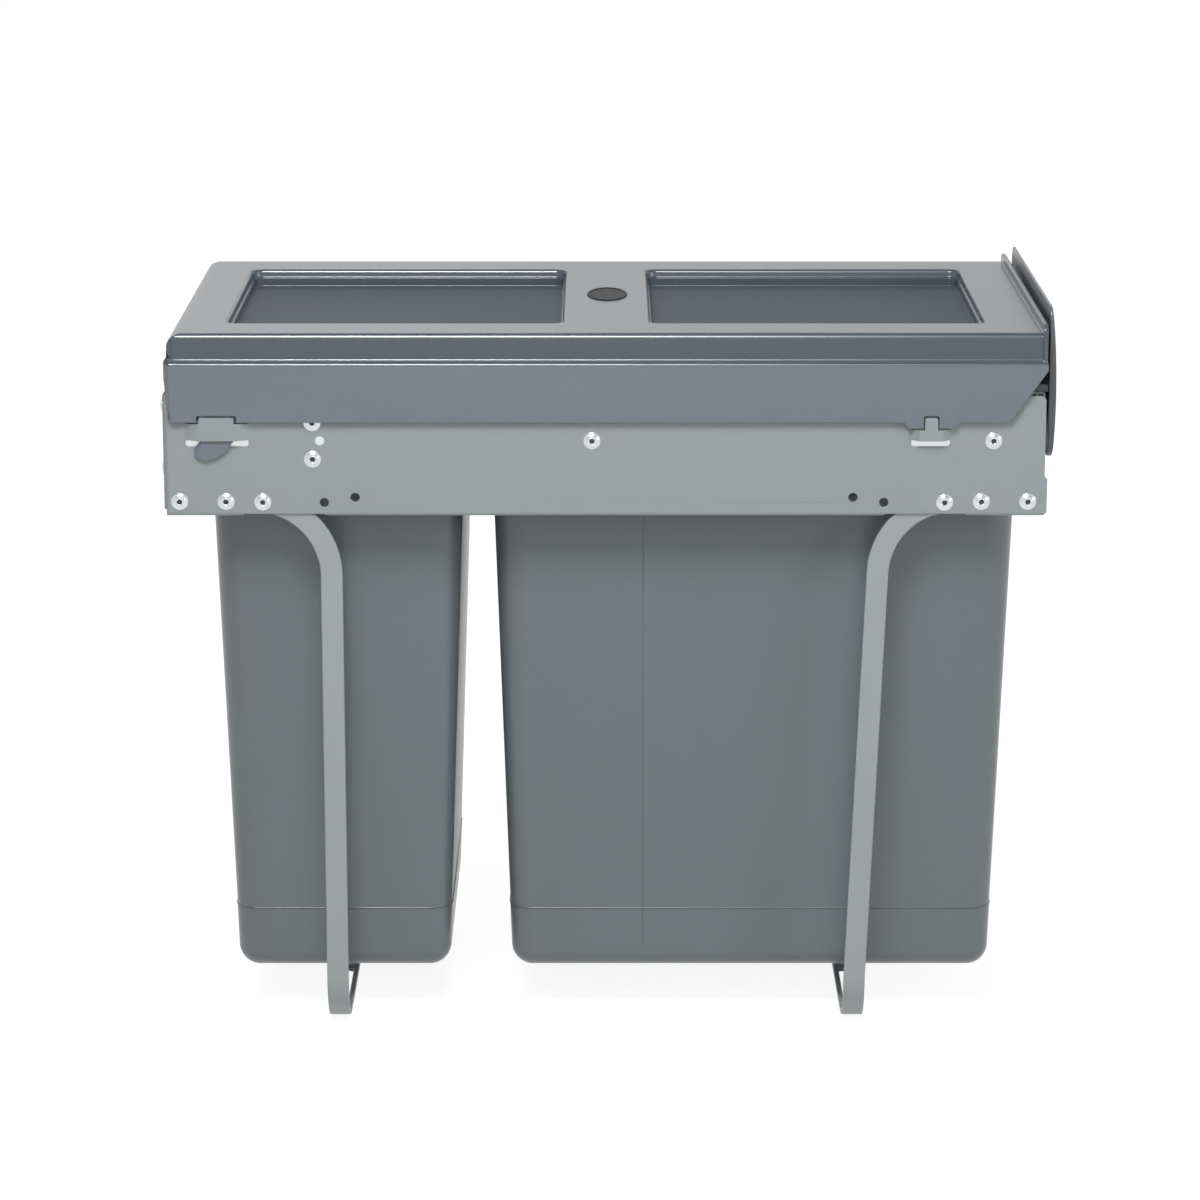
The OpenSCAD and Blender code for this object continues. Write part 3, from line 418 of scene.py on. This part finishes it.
def powder_coat(name, rgb):
    """Polyester powder coat, baked on steel: satin, with an orange peel of 1 to 2 mm. The
    powder's own texture is finer than 0.5 mm, and is drawn that coarse so that it shows."""
    material, tree, output = new_material(name)
    cloud = noise(tree, 60 * MM, 3)
    peel = noise(tree, 1.6 * MM, 2)
    grain = noise(tree, 0.5 * MM, 1)
    fleck = tinted(tree, rgb, between(tree, cloud.outputs["Fac"], 0.2, 0.8), 0.05)
    shader = add_node(tree, "ShaderNodeBsdfPrincipled", {
        "Base Color": fleck,
        "Roughness": between(tree, peel.outputs["Fac"], 0.4, 0.52),
        "IOR": POLYESTER,
        "Normal": bumped(tree, [
            (peel.outputs["Fac"], 0.05 * MM, 0.35), (grain.outputs["Fac"], 0.02 * MM, 0.3)])})
    tree.links.new(shader.outputs["BSDF"], output.inputs["Surface"])
    return material


def moulded_plastic(name, rgb, ior, roughness, grain_size, grain_depth, flow, lower=None):
    """Injection-moulded plastic: an even colour with slight flow marks and a fine grain. A
    mould's grain is about 0.1 mm wide, and is drawn coarser so that it shows. lower is
    (colour, height): a paler colour painted on below that height, a painted sheen."""
    material, tree, output = new_material(name)
    marks = noise(tree, 45 * MM, 2, flow)
    grain = noise(tree, grain_size, 1)
    waves = noise(tree, 30 * MM, 1, flow)
    base = tinted(tree, rgb, marks.outputs["Fac"], 0.06)
    # Painted light: below the given height the colour turns paler, a painted sheen
    if lower:
        place = add_node(tree, "ShaderNodeTexCoord")
        height = add_node(tree, "ShaderNodeSeparateXYZ", {0: place.outputs["Object"]})
        below = add_node(tree, "ShaderNodeMapRange", {
            "Value": height.outputs["Z"], "From Min": lower[1], "From Max": lower[1] + MM,
            "To Min": 1.0, "To Max": 0.0})
        base = add_node(tree, "ShaderNodeMix", {
            MIX_FACTOR: below.outputs["Result"], MIX_A: base,
            MIX_B: tinted(tree, lower[0], marks.outputs["Fac"], 0.06)},
            data_type="RGBA").outputs[MIX_RESULT]
    # The roughness changes by 5 percent only: where it passes 0.274, denoising draws a line
    shader = add_node(tree, "ShaderNodeBsdfPrincipled", {
        "Base Color": base,
        "Roughness": between(tree, marks.outputs["Fac"], 0.95 * roughness, 1.05 * roughness),
        "IOR": ior,
        "Normal": bumped(tree, [
            (waves.outputs["Fac"], 0.1 * MM, 0.12), (grain.outputs["Fac"], grain_depth, 0.3)])})
    tree.links.new(shader.outputs["BSDF"], output.inputs["Surface"])
    return material


def plated_metal(name, rgb, roughness, grain_size, stretch, depth):
    """Plated or turned metal: a drawn or spun grain under a thin bright layer. The grain is
    finer than 0.1 mm, and is drawn coarser so that it shows."""
    material, tree, output = new_material(name)
    grain = noise(tree, grain_size, 3, stretch)
    cloud = noise(tree, 12 * MM, 3)
    shader = add_node(tree, "ShaderNodeBsdfPrincipled", {
        "Base Color": tinted(tree, rgb, cloud.outputs["Fac"], 0.06),
        "Metallic": 1.0,
        "Roughness": between(tree, grain.outputs["Fac"], roughness - 0.06, roughness + 0.1),
        "Normal": bumped(tree, [(grain.outputs["Fac"], depth, 0.3)])})
    tree.links.new(shader.outputs["BSDF"], output.inputs["Surface"])
    return material


def rubber(name, rgb):
    """Vulcanised rubber: matt, with a fine dusty grain."""
    material, tree, output = new_material(name)
    grain = noise(tree, 0.4 * MM, 2)
    shader = add_node(tree, "ShaderNodeBsdfPrincipled", {
        "Base Color": tinted(tree, rgb, grain.outputs["Fac"], 0.2),
        "Roughness": between(tree, grain.outputs["Fac"], 0.7, 0.9),
        "IOR": RUBBER,
        "Normal": bumped(tree, [(grain.outputs["Fac"], 0.05 * MM, 0.5)])})
    tree.links.new(shader.outputs["BSDF"], output.inputs["Surface"])
    return material


def finish(name, make, *settings):
    """The material of that name, made the first time it is asked for."""
    return bpy.data.materials.get(name) or make(name, *settings)


def dulled(material, level):
    """Makes a material mirror less head on."""
    material.node_tree.nodes["Principled BSDF"].inputs["Specular IOR Level"].default_value = level
    return material


def panel_coat():
    """Satin silver grey, which keeps the folded sheet's broad faces soft and even."""
    return finish("Powder coat, silver grey", powder_coat, unit_colours().panels)


def leg_coat():
    """The same powder, painted a little lighter: painted light, for the light that the narrow bar
    catches.
    """
    return finish("Powder coat, light grey", powder_coat, unit_colours().legs)


def lid_abs():
    """Moulded smooth, so that its top mirrors the room at a low angle. Below the ledge it is drawn
    paler: a painted sheen on the skirt.
    """
    return finish("Moulded ABS, slate", moulded_plastic, unit_colours().lid, ABS, 0.26,
                  0.5 * MM, 0.004 * MM, (6, 1, 1), (unit_colours().skirt, LEDGE))


def pan_abs():
    """Spark-eroded, so that the sunk floors stay dark and matt at a low angle."""
    material = finish("Moulded ABS, matt slate", moulded_plastic, unit_colours().pan, ABS, 0.72,
                      0.7 * MM, 0.05 * MM, (6, 1, 1))
    return dulled(material, 0.2)


def bin_pp():
    """Satin and slightly waxy, with flow marks that run down the walls."""
    return finish("Moulded polypropylene, dark grey", moulded_plastic, unit_colours().bins,
                  POLYPROPYLENE, 0.29, 0.7 * MM, 0.02 * MM, (1, 1, 5))


def plate_abs():
    """Satin and dark, with a soft light along its edges."""
    return finish("Moulded ABS, dark", moulded_plastic, unit_colours().plate, ABS, 0.32,
                  0.5 * MM, 0.012 * MM, (1, 4, 1))


def badge_abs():
    """Finely textured, so that it mirrors little of the room."""
    material = finish("Moulded ABS, badge", moulded_plastic, unit_colours().badge, ABS, 0.6,
                      0.6 * MM, 0.03 * MM, (1, 1, 1))
    return dulled(material, 0.25)


def bright_zinc():
    """Zinc on strip that was rolled along X: pale, with faint streaks that way."""
    return finish("Bright zinc on steel", plated_metal, unit_colours().slides, 0.34,
                  0.5 * MM, (30, 1, 1), 0.01 * MM)


def spun_zinc():
    """Zinc on formed heads: bright, with no direction."""
    return finish("Bright zinc on rivets", plated_metal, unit_colours().zinc, 0.24,
                  0.4 * MM, (1, 1, 1), 0.01 * MM)


def yellow_zinc():
    """Chromated zinc: a warm pale gold."""
    return finish("Yellow zinc on steel", plated_metal, unit_colours().cage, 0.32,
                  0.5 * MM, (10, 1, 1), 0.01 * MM)


def chrome_steel():
    """Ground and polished balls: nearly a mirror."""
    return finish("Polished chrome steel", plated_metal, linear("#DFE1E3"), 0.1,
                  0.3 * MM, (1, 1, 1), 0.002 * MM)


def mandrel_steel():
    """The torn end of a steel pin: dull and dark."""
    return finish("Broken steel mandrel", plated_metal, linear("#4A4A4B"), 0.5,
                  0.2 * MM, (1, 1, 1), 0.03 * MM)


def buffer_rubber():
    """Black and matt."""
    return finish("Black rubber", rubber, unit_colours().rubber)


# Geometry Nodes trees


def new_tree(name, sockets):
    """A Geometry Nodes tree with named inputs, its input node and its output node."""
    tree = bpy.data.node_groups.new(name, "GeometryNodeTree")
    for label, kind in sockets:
        tree.interface.new_socket(label, in_out="INPUT", socket_type="NodeSocket" + kind)
    tree.interface.new_socket("Geometry", in_out="OUTPUT", socket_type="NodeSocketGeometry")
    return tree, add_node(tree, "NodeGroupInput"), add_node(tree, "NodeGroupOutput")


def realized(tree, geometry, material, output):
    """Ends a tree: instances become mesh and take the material."""
    mesh = add_node(tree, "GeometryNodeRealizeInstances", {"Geometry": geometry})
    done = add_node(tree, "GeometryNodeSetMaterial", {
        "Geometry": mesh.outputs["Geometry"], "Material": material})
    tree.links.new(done.outputs["Geometry"], output.inputs["Geometry"])


def fastener_tree():
    """Sets a fastener on each point, its head along the point's facing, turned at random."""
    name = "Fasteners on points"
    if name in bpy.data.node_groups:
        return bpy.data.node_groups[name]
    tree, given, output = new_tree(name, [
        ("Points", "Geometry"), ("Fastener", "Object"), ("Size", "Float"),
        ("Seed", "Int"), ("Finish", "Material")])
    facing = add_node(tree, "GeometryNodeInputNamedAttribute", {"Name": "facing"},
                      data_type="FLOAT_VECTOR")
    turned = add_node(tree, "FunctionNodeAlignRotationToVector", {
        "Vector": facing.outputs["Attribute"]}, axis="Z")
    angle = add_node(tree, "FunctionNodeRandomValue", {
        RANDOM_LOW: 0.0, RANDOM_HIGH: math.tau, "Seed": given.outputs["Seed"]},
        data_type="FLOAT")
    spin = add_node(tree, "FunctionNodeAxisAngleToRotation", {
        "Axis": (0, 0, 1), "Angle": angle.outputs[RANDOM_VALUE]})
    rotation = add_node(tree, "FunctionNodeRotateRotation", {
        "Rotation": turned.outputs["Rotation"], "Rotate By": spin.outputs["Rotation"]},
        rotation_space="LOCAL")
    source = add_node(tree, "GeometryNodeObjectInfo", {"Object": given.outputs["Fastener"]})
    copies = add_node(tree, "GeometryNodeInstanceOnPoints", {
        "Points": given.outputs["Points"], "Instance": source.outputs["Geometry"],
        "Rotation": rotation.outputs["Rotation"], "Scale": given.outputs["Size"]})
    realized(tree, copies.outputs["Instances"], given.outputs["Finish"], output)
    return tree


def ball_tree():
    """Sets a ball on each point."""
    name = "Balls on points"
    if name in bpy.data.node_groups:
        return bpy.data.node_groups[name]
    tree, given, output = new_tree(name, [
        ("Points", "Geometry"), ("Radius", "Float"), ("Finish", "Material")])
    ball = add_node(tree, "GeometryNodeMeshUVSphere", {
        "Segments": 24, "Rings": 14, "Radius": given.outputs["Radius"]})
    smooth = add_node(tree, "GeometryNodeSetShadeSmooth", {"Geometry": ball.outputs["Mesh"]})
    copies = add_node(tree, "GeometryNodeInstanceOnPoints", {
        "Points": given.outputs["Points"], "Instance": smooth.outputs["Geometry"]})
    realized(tree, copies.outputs["Instances"], given.outputs["Finish"], output)
    return tree


def grown(name, tree, points, facings, inputs):
    """A plain mesh piece from a tree run on points; inputs are given by their labels."""
    mesh = bpy.data.meshes.new(name)
    mesh.from_pydata(points, [], [])
    if facings:
        attribute = mesh.attributes.new("facing", "FLOAT_VECTOR", "POINT")
        attribute.data.foreach_set("vector", [c for f in facings for c in f])
    piece = new_piece(name + "_points", mesh, inputs["Finish"])
    modifier = piece.modifiers.new("grown", "NODES")
    modifier.node_group = tree
    for item in tree.interface.items_tree:
        if item.in_out == "INPUT" and item.name in inputs:
            modifier[item.identifier] = inputs[item.name]
    return baked(piece, name)


def joined(name, pieces):
    """Several plain pieces made one."""
    bm = bmesh.new()
    for piece in pieces:
        bm.from_mesh(piece.data)
    mesh = bpy.data.meshes.new(name)
    bm.to_mesh(mesh)
    bm.free()
    material = pieces[0].data.materials[0]
    for piece in pieces:
        bpy.data.objects.remove(piece)
    return new_piece(name, mesh, material)


# Pieces


class BINUNIT_OT_studio(bpy.types.Operator):
    """Builds the floor, the soft light and the camera"""

    bl_idname = "binunit.studio"
    bl_label = "Studio"

    def execute(self, context):
        colours, studio = unit_colours(), unit_studio()
        self.camera(context, studio)
        self.room(context, studio)
        for name, (place, size) in LAMPS.items():
            self.lamp(context, name, place, size, getattr(studio, name + "_power"))
        self.floor(context, colours)
        context.scene.view_settings.view_transform = "Standard"
        return {"FINISHED"}

    def camera(self, context, studio):
        data = bpy.data.cameras.new("camera")
        data.lens = studio.lens
        data.sensor_width = SENSOR_WIDTH
        camera = bpy.data.objects.new("camera", data)
        camera.location = CAMERA_PLACE
        camera.rotation_euler = (CAMERA_TILT, 0, 0)
        context.scene.collection.objects.link(camera)
        context.scene.camera = camera

    def seen(self, tree):
        """1 for rays that the camera sees straight on, in a reflection or through glass."""
        path = add_node(tree, "ShaderNodeLightPath")
        direct = add_node(tree, "ShaderNodeMath", {
            0: path.outputs["Is Camera Ray"], 1: path.outputs["Is Glossy Ray"]},
            operation="MAXIMUM")
        return add_node(tree, "ShaderNodeMath", {
            0: direct.outputs[0], 1: path.outputs["Is Transmission Ray"]}, operation="MAXIMUM")

    def room(self, context, studio):
        """An even grey room. The camera and shiny things see it white, with a dark ceiling."""
        world = bpy.data.worlds.new("room")
        world.use_nodes = True
        tree = world.node_tree
        tree.nodes.clear()
        seen = self.seen(tree)
        lit = add_node(tree, "ShaderNodeBackground", {
            "Color": (1, 1, 1, 1), "Strength": studio.world_light})
        place = add_node(tree, "ShaderNodeTexCoord")
        height = add_node(tree, "ShaderNodeSeparateXYZ", {0: place.outputs["Generated"]})
        ceiling = add_node(tree, "ShaderNodeMapRange", {
            "Value": height.outputs["Z"], "From Min": CEILING_START, "From Max": CEILING_FULL,
            "To Min": 1.0, "To Max": studio.ceiling})
        white = add_node(tree, "ShaderNodeBackground", {
            "Color": (1, 1, 1, 1), "Strength": ceiling.outputs["Result"]})
        mixed = add_node(tree, "ShaderNodeMixShader", {
            0: seen.outputs[0], 1: lit.outputs[0], 2: white.outputs[0]})
        output = add_node(tree, "ShaderNodeOutputWorld")
        tree.links.new(mixed.outputs[0], output.inputs["Surface"])
        context.scene.world = world

    def lamp(self, context, name, place, size, power):
        """A softbox. The strip only draws glints on edges, and adds no diffuse light."""
        data = bpy.data.lights.new(name, "AREA")
        data.shape = "RECTANGLE"
        data.size, data.size_y = size
        data.energy = power
        lamp = bpy.data.objects.new(name, data)
        lamp.location = place
        lamp.visible_camera = False
        lamp.visible_diffuse = name != "strip"
        lamp.rotation_euler = (AIM - Vector(place)).to_track_quat("-Z", "Y").to_euler()
        context.scene.collection.objects.link(lamp)

    def floor(self, context, colours):
        """A plain pale floor that goes white towards the camera but keeps its shadow."""
        half = FLOOR_HALF
        mesh = bpy.data.meshes.new("floor")
        mesh.from_pydata(
            [(-half, -half, 0), (half, -half, 0), (half, half, 0), (-half, half, 0)],
            [], [(0, 1, 2, 3)])
        material, tree, output = new_material("Painted floor, white")
        seen = self.seen(tree)
        speck = noise(tree, 4 * MM, 2)
        paint = add_node(tree, "ShaderNodeBsdfDiffuse", {
            "Color": tinted(tree, colours.floor, speck.outputs["Fac"], 0.01)})
        glow = add_node(tree, "ShaderNodeEmission", {
            "Color": (1, 1, 1, 1), "Strength": FLOOR_GLOW})
        share = add_node(tree, "ShaderNodeMath", {
            0: seen.outputs[0], 1: FLOOR_SHARE}, operation="MULTIPLY")
        mixed = add_node(tree, "ShaderNodeMixShader", {
            0: share.outputs[0], 1: paint.outputs[0], 2: glow.outputs[0]})
        tree.links.new(mixed.outputs[0], output.inputs["Surface"])
        floor = new_piece("floor", mesh, material)
        floor.location.z = -FLOOR_DROP


class BINUNIT_OT_panels(bpy.types.Operator):
    """Coats the side panels and the rear cross panel"""

    bl_idname = "binunit.panels"
    bl_label = "Side panels"

    def execute(self, context):
        edge = unit_sizes().sheet_edge
        for node in ("side_panel_near", "side_panel_far", "rear_cross_panel"):
            softened(node, panel_coat(), edge)
        return {"FINISHED"}


class BINUNIT_OT_legs(bpy.types.Operator):
    """Coats the two bent legs"""

    bl_idname = "binunit.legs"
    bl_label = "Legs"

    def execute(self, context):
        for node in ("rear_leg", "front_leg"):
            softened(node, leg_coat(), unit_sizes().bar_edge, 3)
        return {"FINISHED"}


class BINUNIT_OT_rivets(bpy.types.Operator):
    """Sets the blind rivets, with the stubs of their mandrels"""

    bl_idname = "binunit.rivets"
    bl_label = "Rivets"

    def execute(self, context):
        self.group("frame_rivets", True)
        self.group("carrier_rivets", False)
        return {"FINISHED"}

    def group(self, node, outward):
        """All rivets of a node. Their heads face away from the middle, or towards it."""
        sizes = unit_sizes()
        kinds = {}
        for low, high in islands(node):
            extent = high - low
            axis = min(range(3), key=lambda i: extent[i])
            side = 1 if (low[axis] + high[axis] > 0) == outward else -1
            point = (low + high) / 2
            sheet = high[axis] - sizes.rivet_dome if side > 0 else low[axis] + sizes.rivet_dome
            point[axis] = sheet
            facing = Vector((0, 0, 0))
            facing[axis] = side
            depth = round(extent[axis] - sizes.rivet_dome, 4)
            kinds.setdefault(depth, []).append((point, facing))
        bodies, stubs = [], []
        for depth, places in sorted(kinds.items()):
            points, facings = zip(*places)
            for made, mesh, material in (
                    (bodies, self.rivet(sizes, depth), spun_zinc()),
                    (stubs, self.stub(sizes), mandrel_steel())):
                source = new_piece("rivet_source", mesh, material)
                name = f"{node}_{len(made)}"
                made.append(grown(name, fastener_tree(), points, facings, {
                    "Fastener": source, "Size": 1.0, "Seed": unit_studio().seed,
                    "Finish": material}))
                bpy.data.objects.remove(source)
        body = NODES[node]["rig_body"]
        settle(joined(PIECE.format(node), bodies), body, SLOT_OF[node], node)
        settle(joined(node + "_mandrels", stubs), body, SLOT_OF[node])

    def rivet(self, sizes, depth):
        """A set blind rivet: a raised dome in a flat rim, a dished bore, and a shank behind."""
        head, dome = sizes.rivet_head / 2, sizes.rivet_dome
        shank, bore = sizes.rivet_shank / 2, sizes.rivet_bore / 2
        lip = bore + 0.45 * MM
        rim = [(head * c, dome * h) for c, h in RIVET_HEAD]
        neck = [(lip + 0.16 * MM, 0.88 * dome), (lip, 0.99 * dome), (lip - 0.12 * MM, dome),
                (bore + 0.1 * MM, 0.97 * dome), (bore, 0.85 * dome)]
        bottom = [(bore, -0.1 * MM), (0, -0.1 * MM)]
        bulge = shank + 0.9 * MM
        if depth > 3 * MM:
            tail = [(0, -depth), (bulge - 0.5 * MM, -depth), (bulge, 0.5 * MM - depth),
                    (bulge, 1.3 * MM - depth), (bulge - 0.3 * MM, 1.5 * MM - depth),
                    (shank, 1.5 * MM - depth), (shank, 0)]
        else:
            tail = [(0, -depth), (shank, -depth), (shank, 0)]
        return lathe("rivet", tail + rim + neck + bottom)

    def stub(self, sizes):
        """What is left of the mandrel, broken off inside the bore."""
        bore, top = sizes.rivet_bore / 2 - 0.08 * MM, 0.35 * MM
        return lathe("stub", [
            (0, -0.05 * MM), (bore, -0.05 * MM), (bore, top), (0.8 * bore, top + 0.12 * MM),
            (0.35 * bore, top + 0.05 * MM), (0, top + 0.2 * MM)], 20)


class BINUNIT_OT_slides(bpy.types.Operator):
    """Finishes the slides' members, cages, balls and buffers"""

    bl_idname = "binunit.slides"
    bl_label = "Ball-bearing slides"

    def execute(self, context):
        edge = unit_sizes().sheet_edge / 2
        for side in ("near", "far"):
            for member in ("outer", "middle", "inner"):
                softened(f"slide_{member}_{side}", bright_zinc(), edge)
            for row in ("outer", "inner"):
                softened(f"{row}_cage_{side}", yellow_zinc(), edge / 2, 1)
                self.balls(f"{row}_balls_{side}")
        softened("slide_bumpers", buffer_rubber(), 4 * edge)
        return {"FINISHED"}

    def balls(self, node):
        boxes = islands(node)
        radius = max((high - low).x for low, high in boxes) / 2
        piece = grown(PIECE.format(node), ball_tree(), [(low + high) / 2 for low, high in boxes],
                      None, {"Radius": radius, "Finish": chrome_steel()})
        settle(piece, NODES[node]["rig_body"], SLOT_OF[node], node)


class BINUNIT_OT_carrier(bpy.types.Operator):
    """Coats the carrier's rails and bars"""

    bl_idname = "binunit.carrier"
    bl_label = "Carrier"

    def execute(self, context):
        edge = unit_sizes().sheet_edge
        for part in ("rail_near", "rail_far", "front_bar", "rear_bar", "divider"):
            softened("carrier_" + part, panel_coat(), edge)
        return {"FINISHED"}


class BINUNIT_OT_bins(bpy.types.Operator):
    """Moulds the two bins, with the seam that the large one's mould leaves"""

    bl_idname = "binunit.bins"
    bl_label = "Bins"

    def execute(self, context):
        sizes = unit_sizes()
        softened("small_bin", bin_pp(), sizes.bin_edge)
        large = softened("large_bin", bin_pp(), sizes.bin_edge)
        self.seam(large, sizes)
        return {"FINISHED"}

    def seam(self, piece, sizes):
        """A thin upright ridge on both long walls, found by looking at the wall level by level."""
        tree = BVHTree.FromObject(piece, bpy.context.evaluated_depsgraph_get())
        low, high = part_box("large_bin")
        z0, z1 = low.z + 14 * MM, high.z - 6 * MM
        bm = bmesh.new()
        for side in (-1, 1):
            rows = []
            for i in range(SEAM_LEVELS + 1):
                z = z0 + (z1 - z0) * i / SEAM_LEVELS
                row = []
                for dx, dy in ((-0.5, -0.05 * MM), (-0.2, sizes.seam_height),
                               (0.2, sizes.seam_height), (0.5, -0.05 * MM)):
                    x = SEAM_X + dx * sizes.seam_width
                    hit = tree.ray_cast(Vector((x, side * 0.3, z)), Vector((0, -side, 0)))[0]
                    if hit is None:
                        raise RuntimeError("the seam misses the bin's wall")
                    row.append(bm.verts.new((x, hit.y + side * dy, z)))
                rows.append(row)
            for a, b in zip(rows, rows[1:]):
                for j in range(3):
                    bm.faces.new((a[j], a[j + 1], b[j + 1], b[j]))
                bm.faces.new((a[3], a[0], b[0], b[3]))
            bm.faces.new(rows[0])
            bm.faces.new(rows[-1])
        bmesh.ops.recalc_face_normals(bm, faces=bm.faces)
        mesh = bpy.data.meshes.new("large_bin_seam")
        bm.to_mesh(mesh)
        bm.free()
        seam = new_piece("large_bin_seam", mesh, bin_pp())
        settle(seam, NODES["large_bin"]["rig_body"], SLOT_OF["large_bin"])


class BINUNIT_OT_front_plate(bpy.types.Operator):
    """Moulds the front plate and zinc-plates its screws"""

    bl_idname = "binunit.front_plate"
    bl_label = "Front plate"

    def execute(self, context):
        sizes = unit_sizes()
        softened("front_plate", plate_abs(), sizes.plastic_edge, 3)
        softened("front_plate_screws", spun_zinc(), sizes.sheet_edge / 2)
        return {"FINISHED"}


class BINUNIT_OT_lid(bpy.types.Operator):
    """Moulds the lid and its oval badge"""

    bl_idname = "binunit.lid"
    bl_label = "Lid"

    def execute(self, context):
        sizes = unit_sizes()
        low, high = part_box("lid")
        cuts = [((x, 0, 0), (1, 0, 0)) for x in (low.x + REAR_RIM, high.x - FRONT_RIM)]
        cuts += [((0, y, 0), (0, 1, 0)) for y in (low.y + SIDE_RIM, high.y - SIDE_RIM)]
        lid = softened("lid", lid_abs(), sizes.plastic_edge, 3, cuts)
        lid.data.materials.append(pan_abs())
        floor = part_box("lid_badge")[1].z - PAN_FLOOR
        for face in lid.data.polygons:
            if abs(face.center.z - floor) < 0.4 * MM and face.normal.z > 0.5:
                face.material_index = 1
        softened("lid_badge", badge_abs(), sizes.sheet_edge / 2)
        return {"FINISHED"}


class BINUNIT_PT_panel(bpy.types.Panel):
    """Lists the unit's pieces and settings"""

    bl_label = "Bin Unit"
    bl_space_type = "VIEW_3D"
    bl_region_type = "UI"
    bl_category = "Bin Unit"

    def draw(self, context):
        for group in (unit_colours(), unit_sizes(), unit_studio()):
            box = self.layout.box()
            for name in group.__annotations__:
                box.prop(group, name)
        for operator in OPERATORS:
            self.layout.operator(operator.bl_idname)


GROUPS = {
    "bin_unit_colours": BinUnitColours,
    "bin_unit_sizes": BinUnitSizes,
    "bin_unit_studio": BinUnitStudio,
}
OPERATORS = (
    BINUNIT_OT_studio,
    BINUNIT_OT_panels,
    BINUNIT_OT_legs,
    BINUNIT_OT_rivets,
    BINUNIT_OT_slides,
    BINUNIT_OT_carrier,
    BINUNIT_OT_bins,
    BINUNIT_OT_front_plate,
    BINUNIT_OT_lid,
)


def register():
    for cls in (*GROUPS.values(), *OPERATORS, BINUNIT_PT_panel):
        bpy.utils.register_class(cls)
    for name, group in GROUPS.items():
        setattr(bpy.types.Scene, name, PointerProperty(type=group))


def unregister():
    for name in GROUPS:
        delattr(bpy.types.Scene, name)
    for cls in (BINUNIT_PT_panel, *reversed(OPERATORS), *reversed(GROUPS.values())):
        bpy.utils.unregister_class(cls)


def main():
    register()
    for operator in OPERATORS:
        group, name = operator.bl_idname.split(".")
        getattr(getattr(bpy.ops, group), name)()


if __name__ == "__main__":
    main()
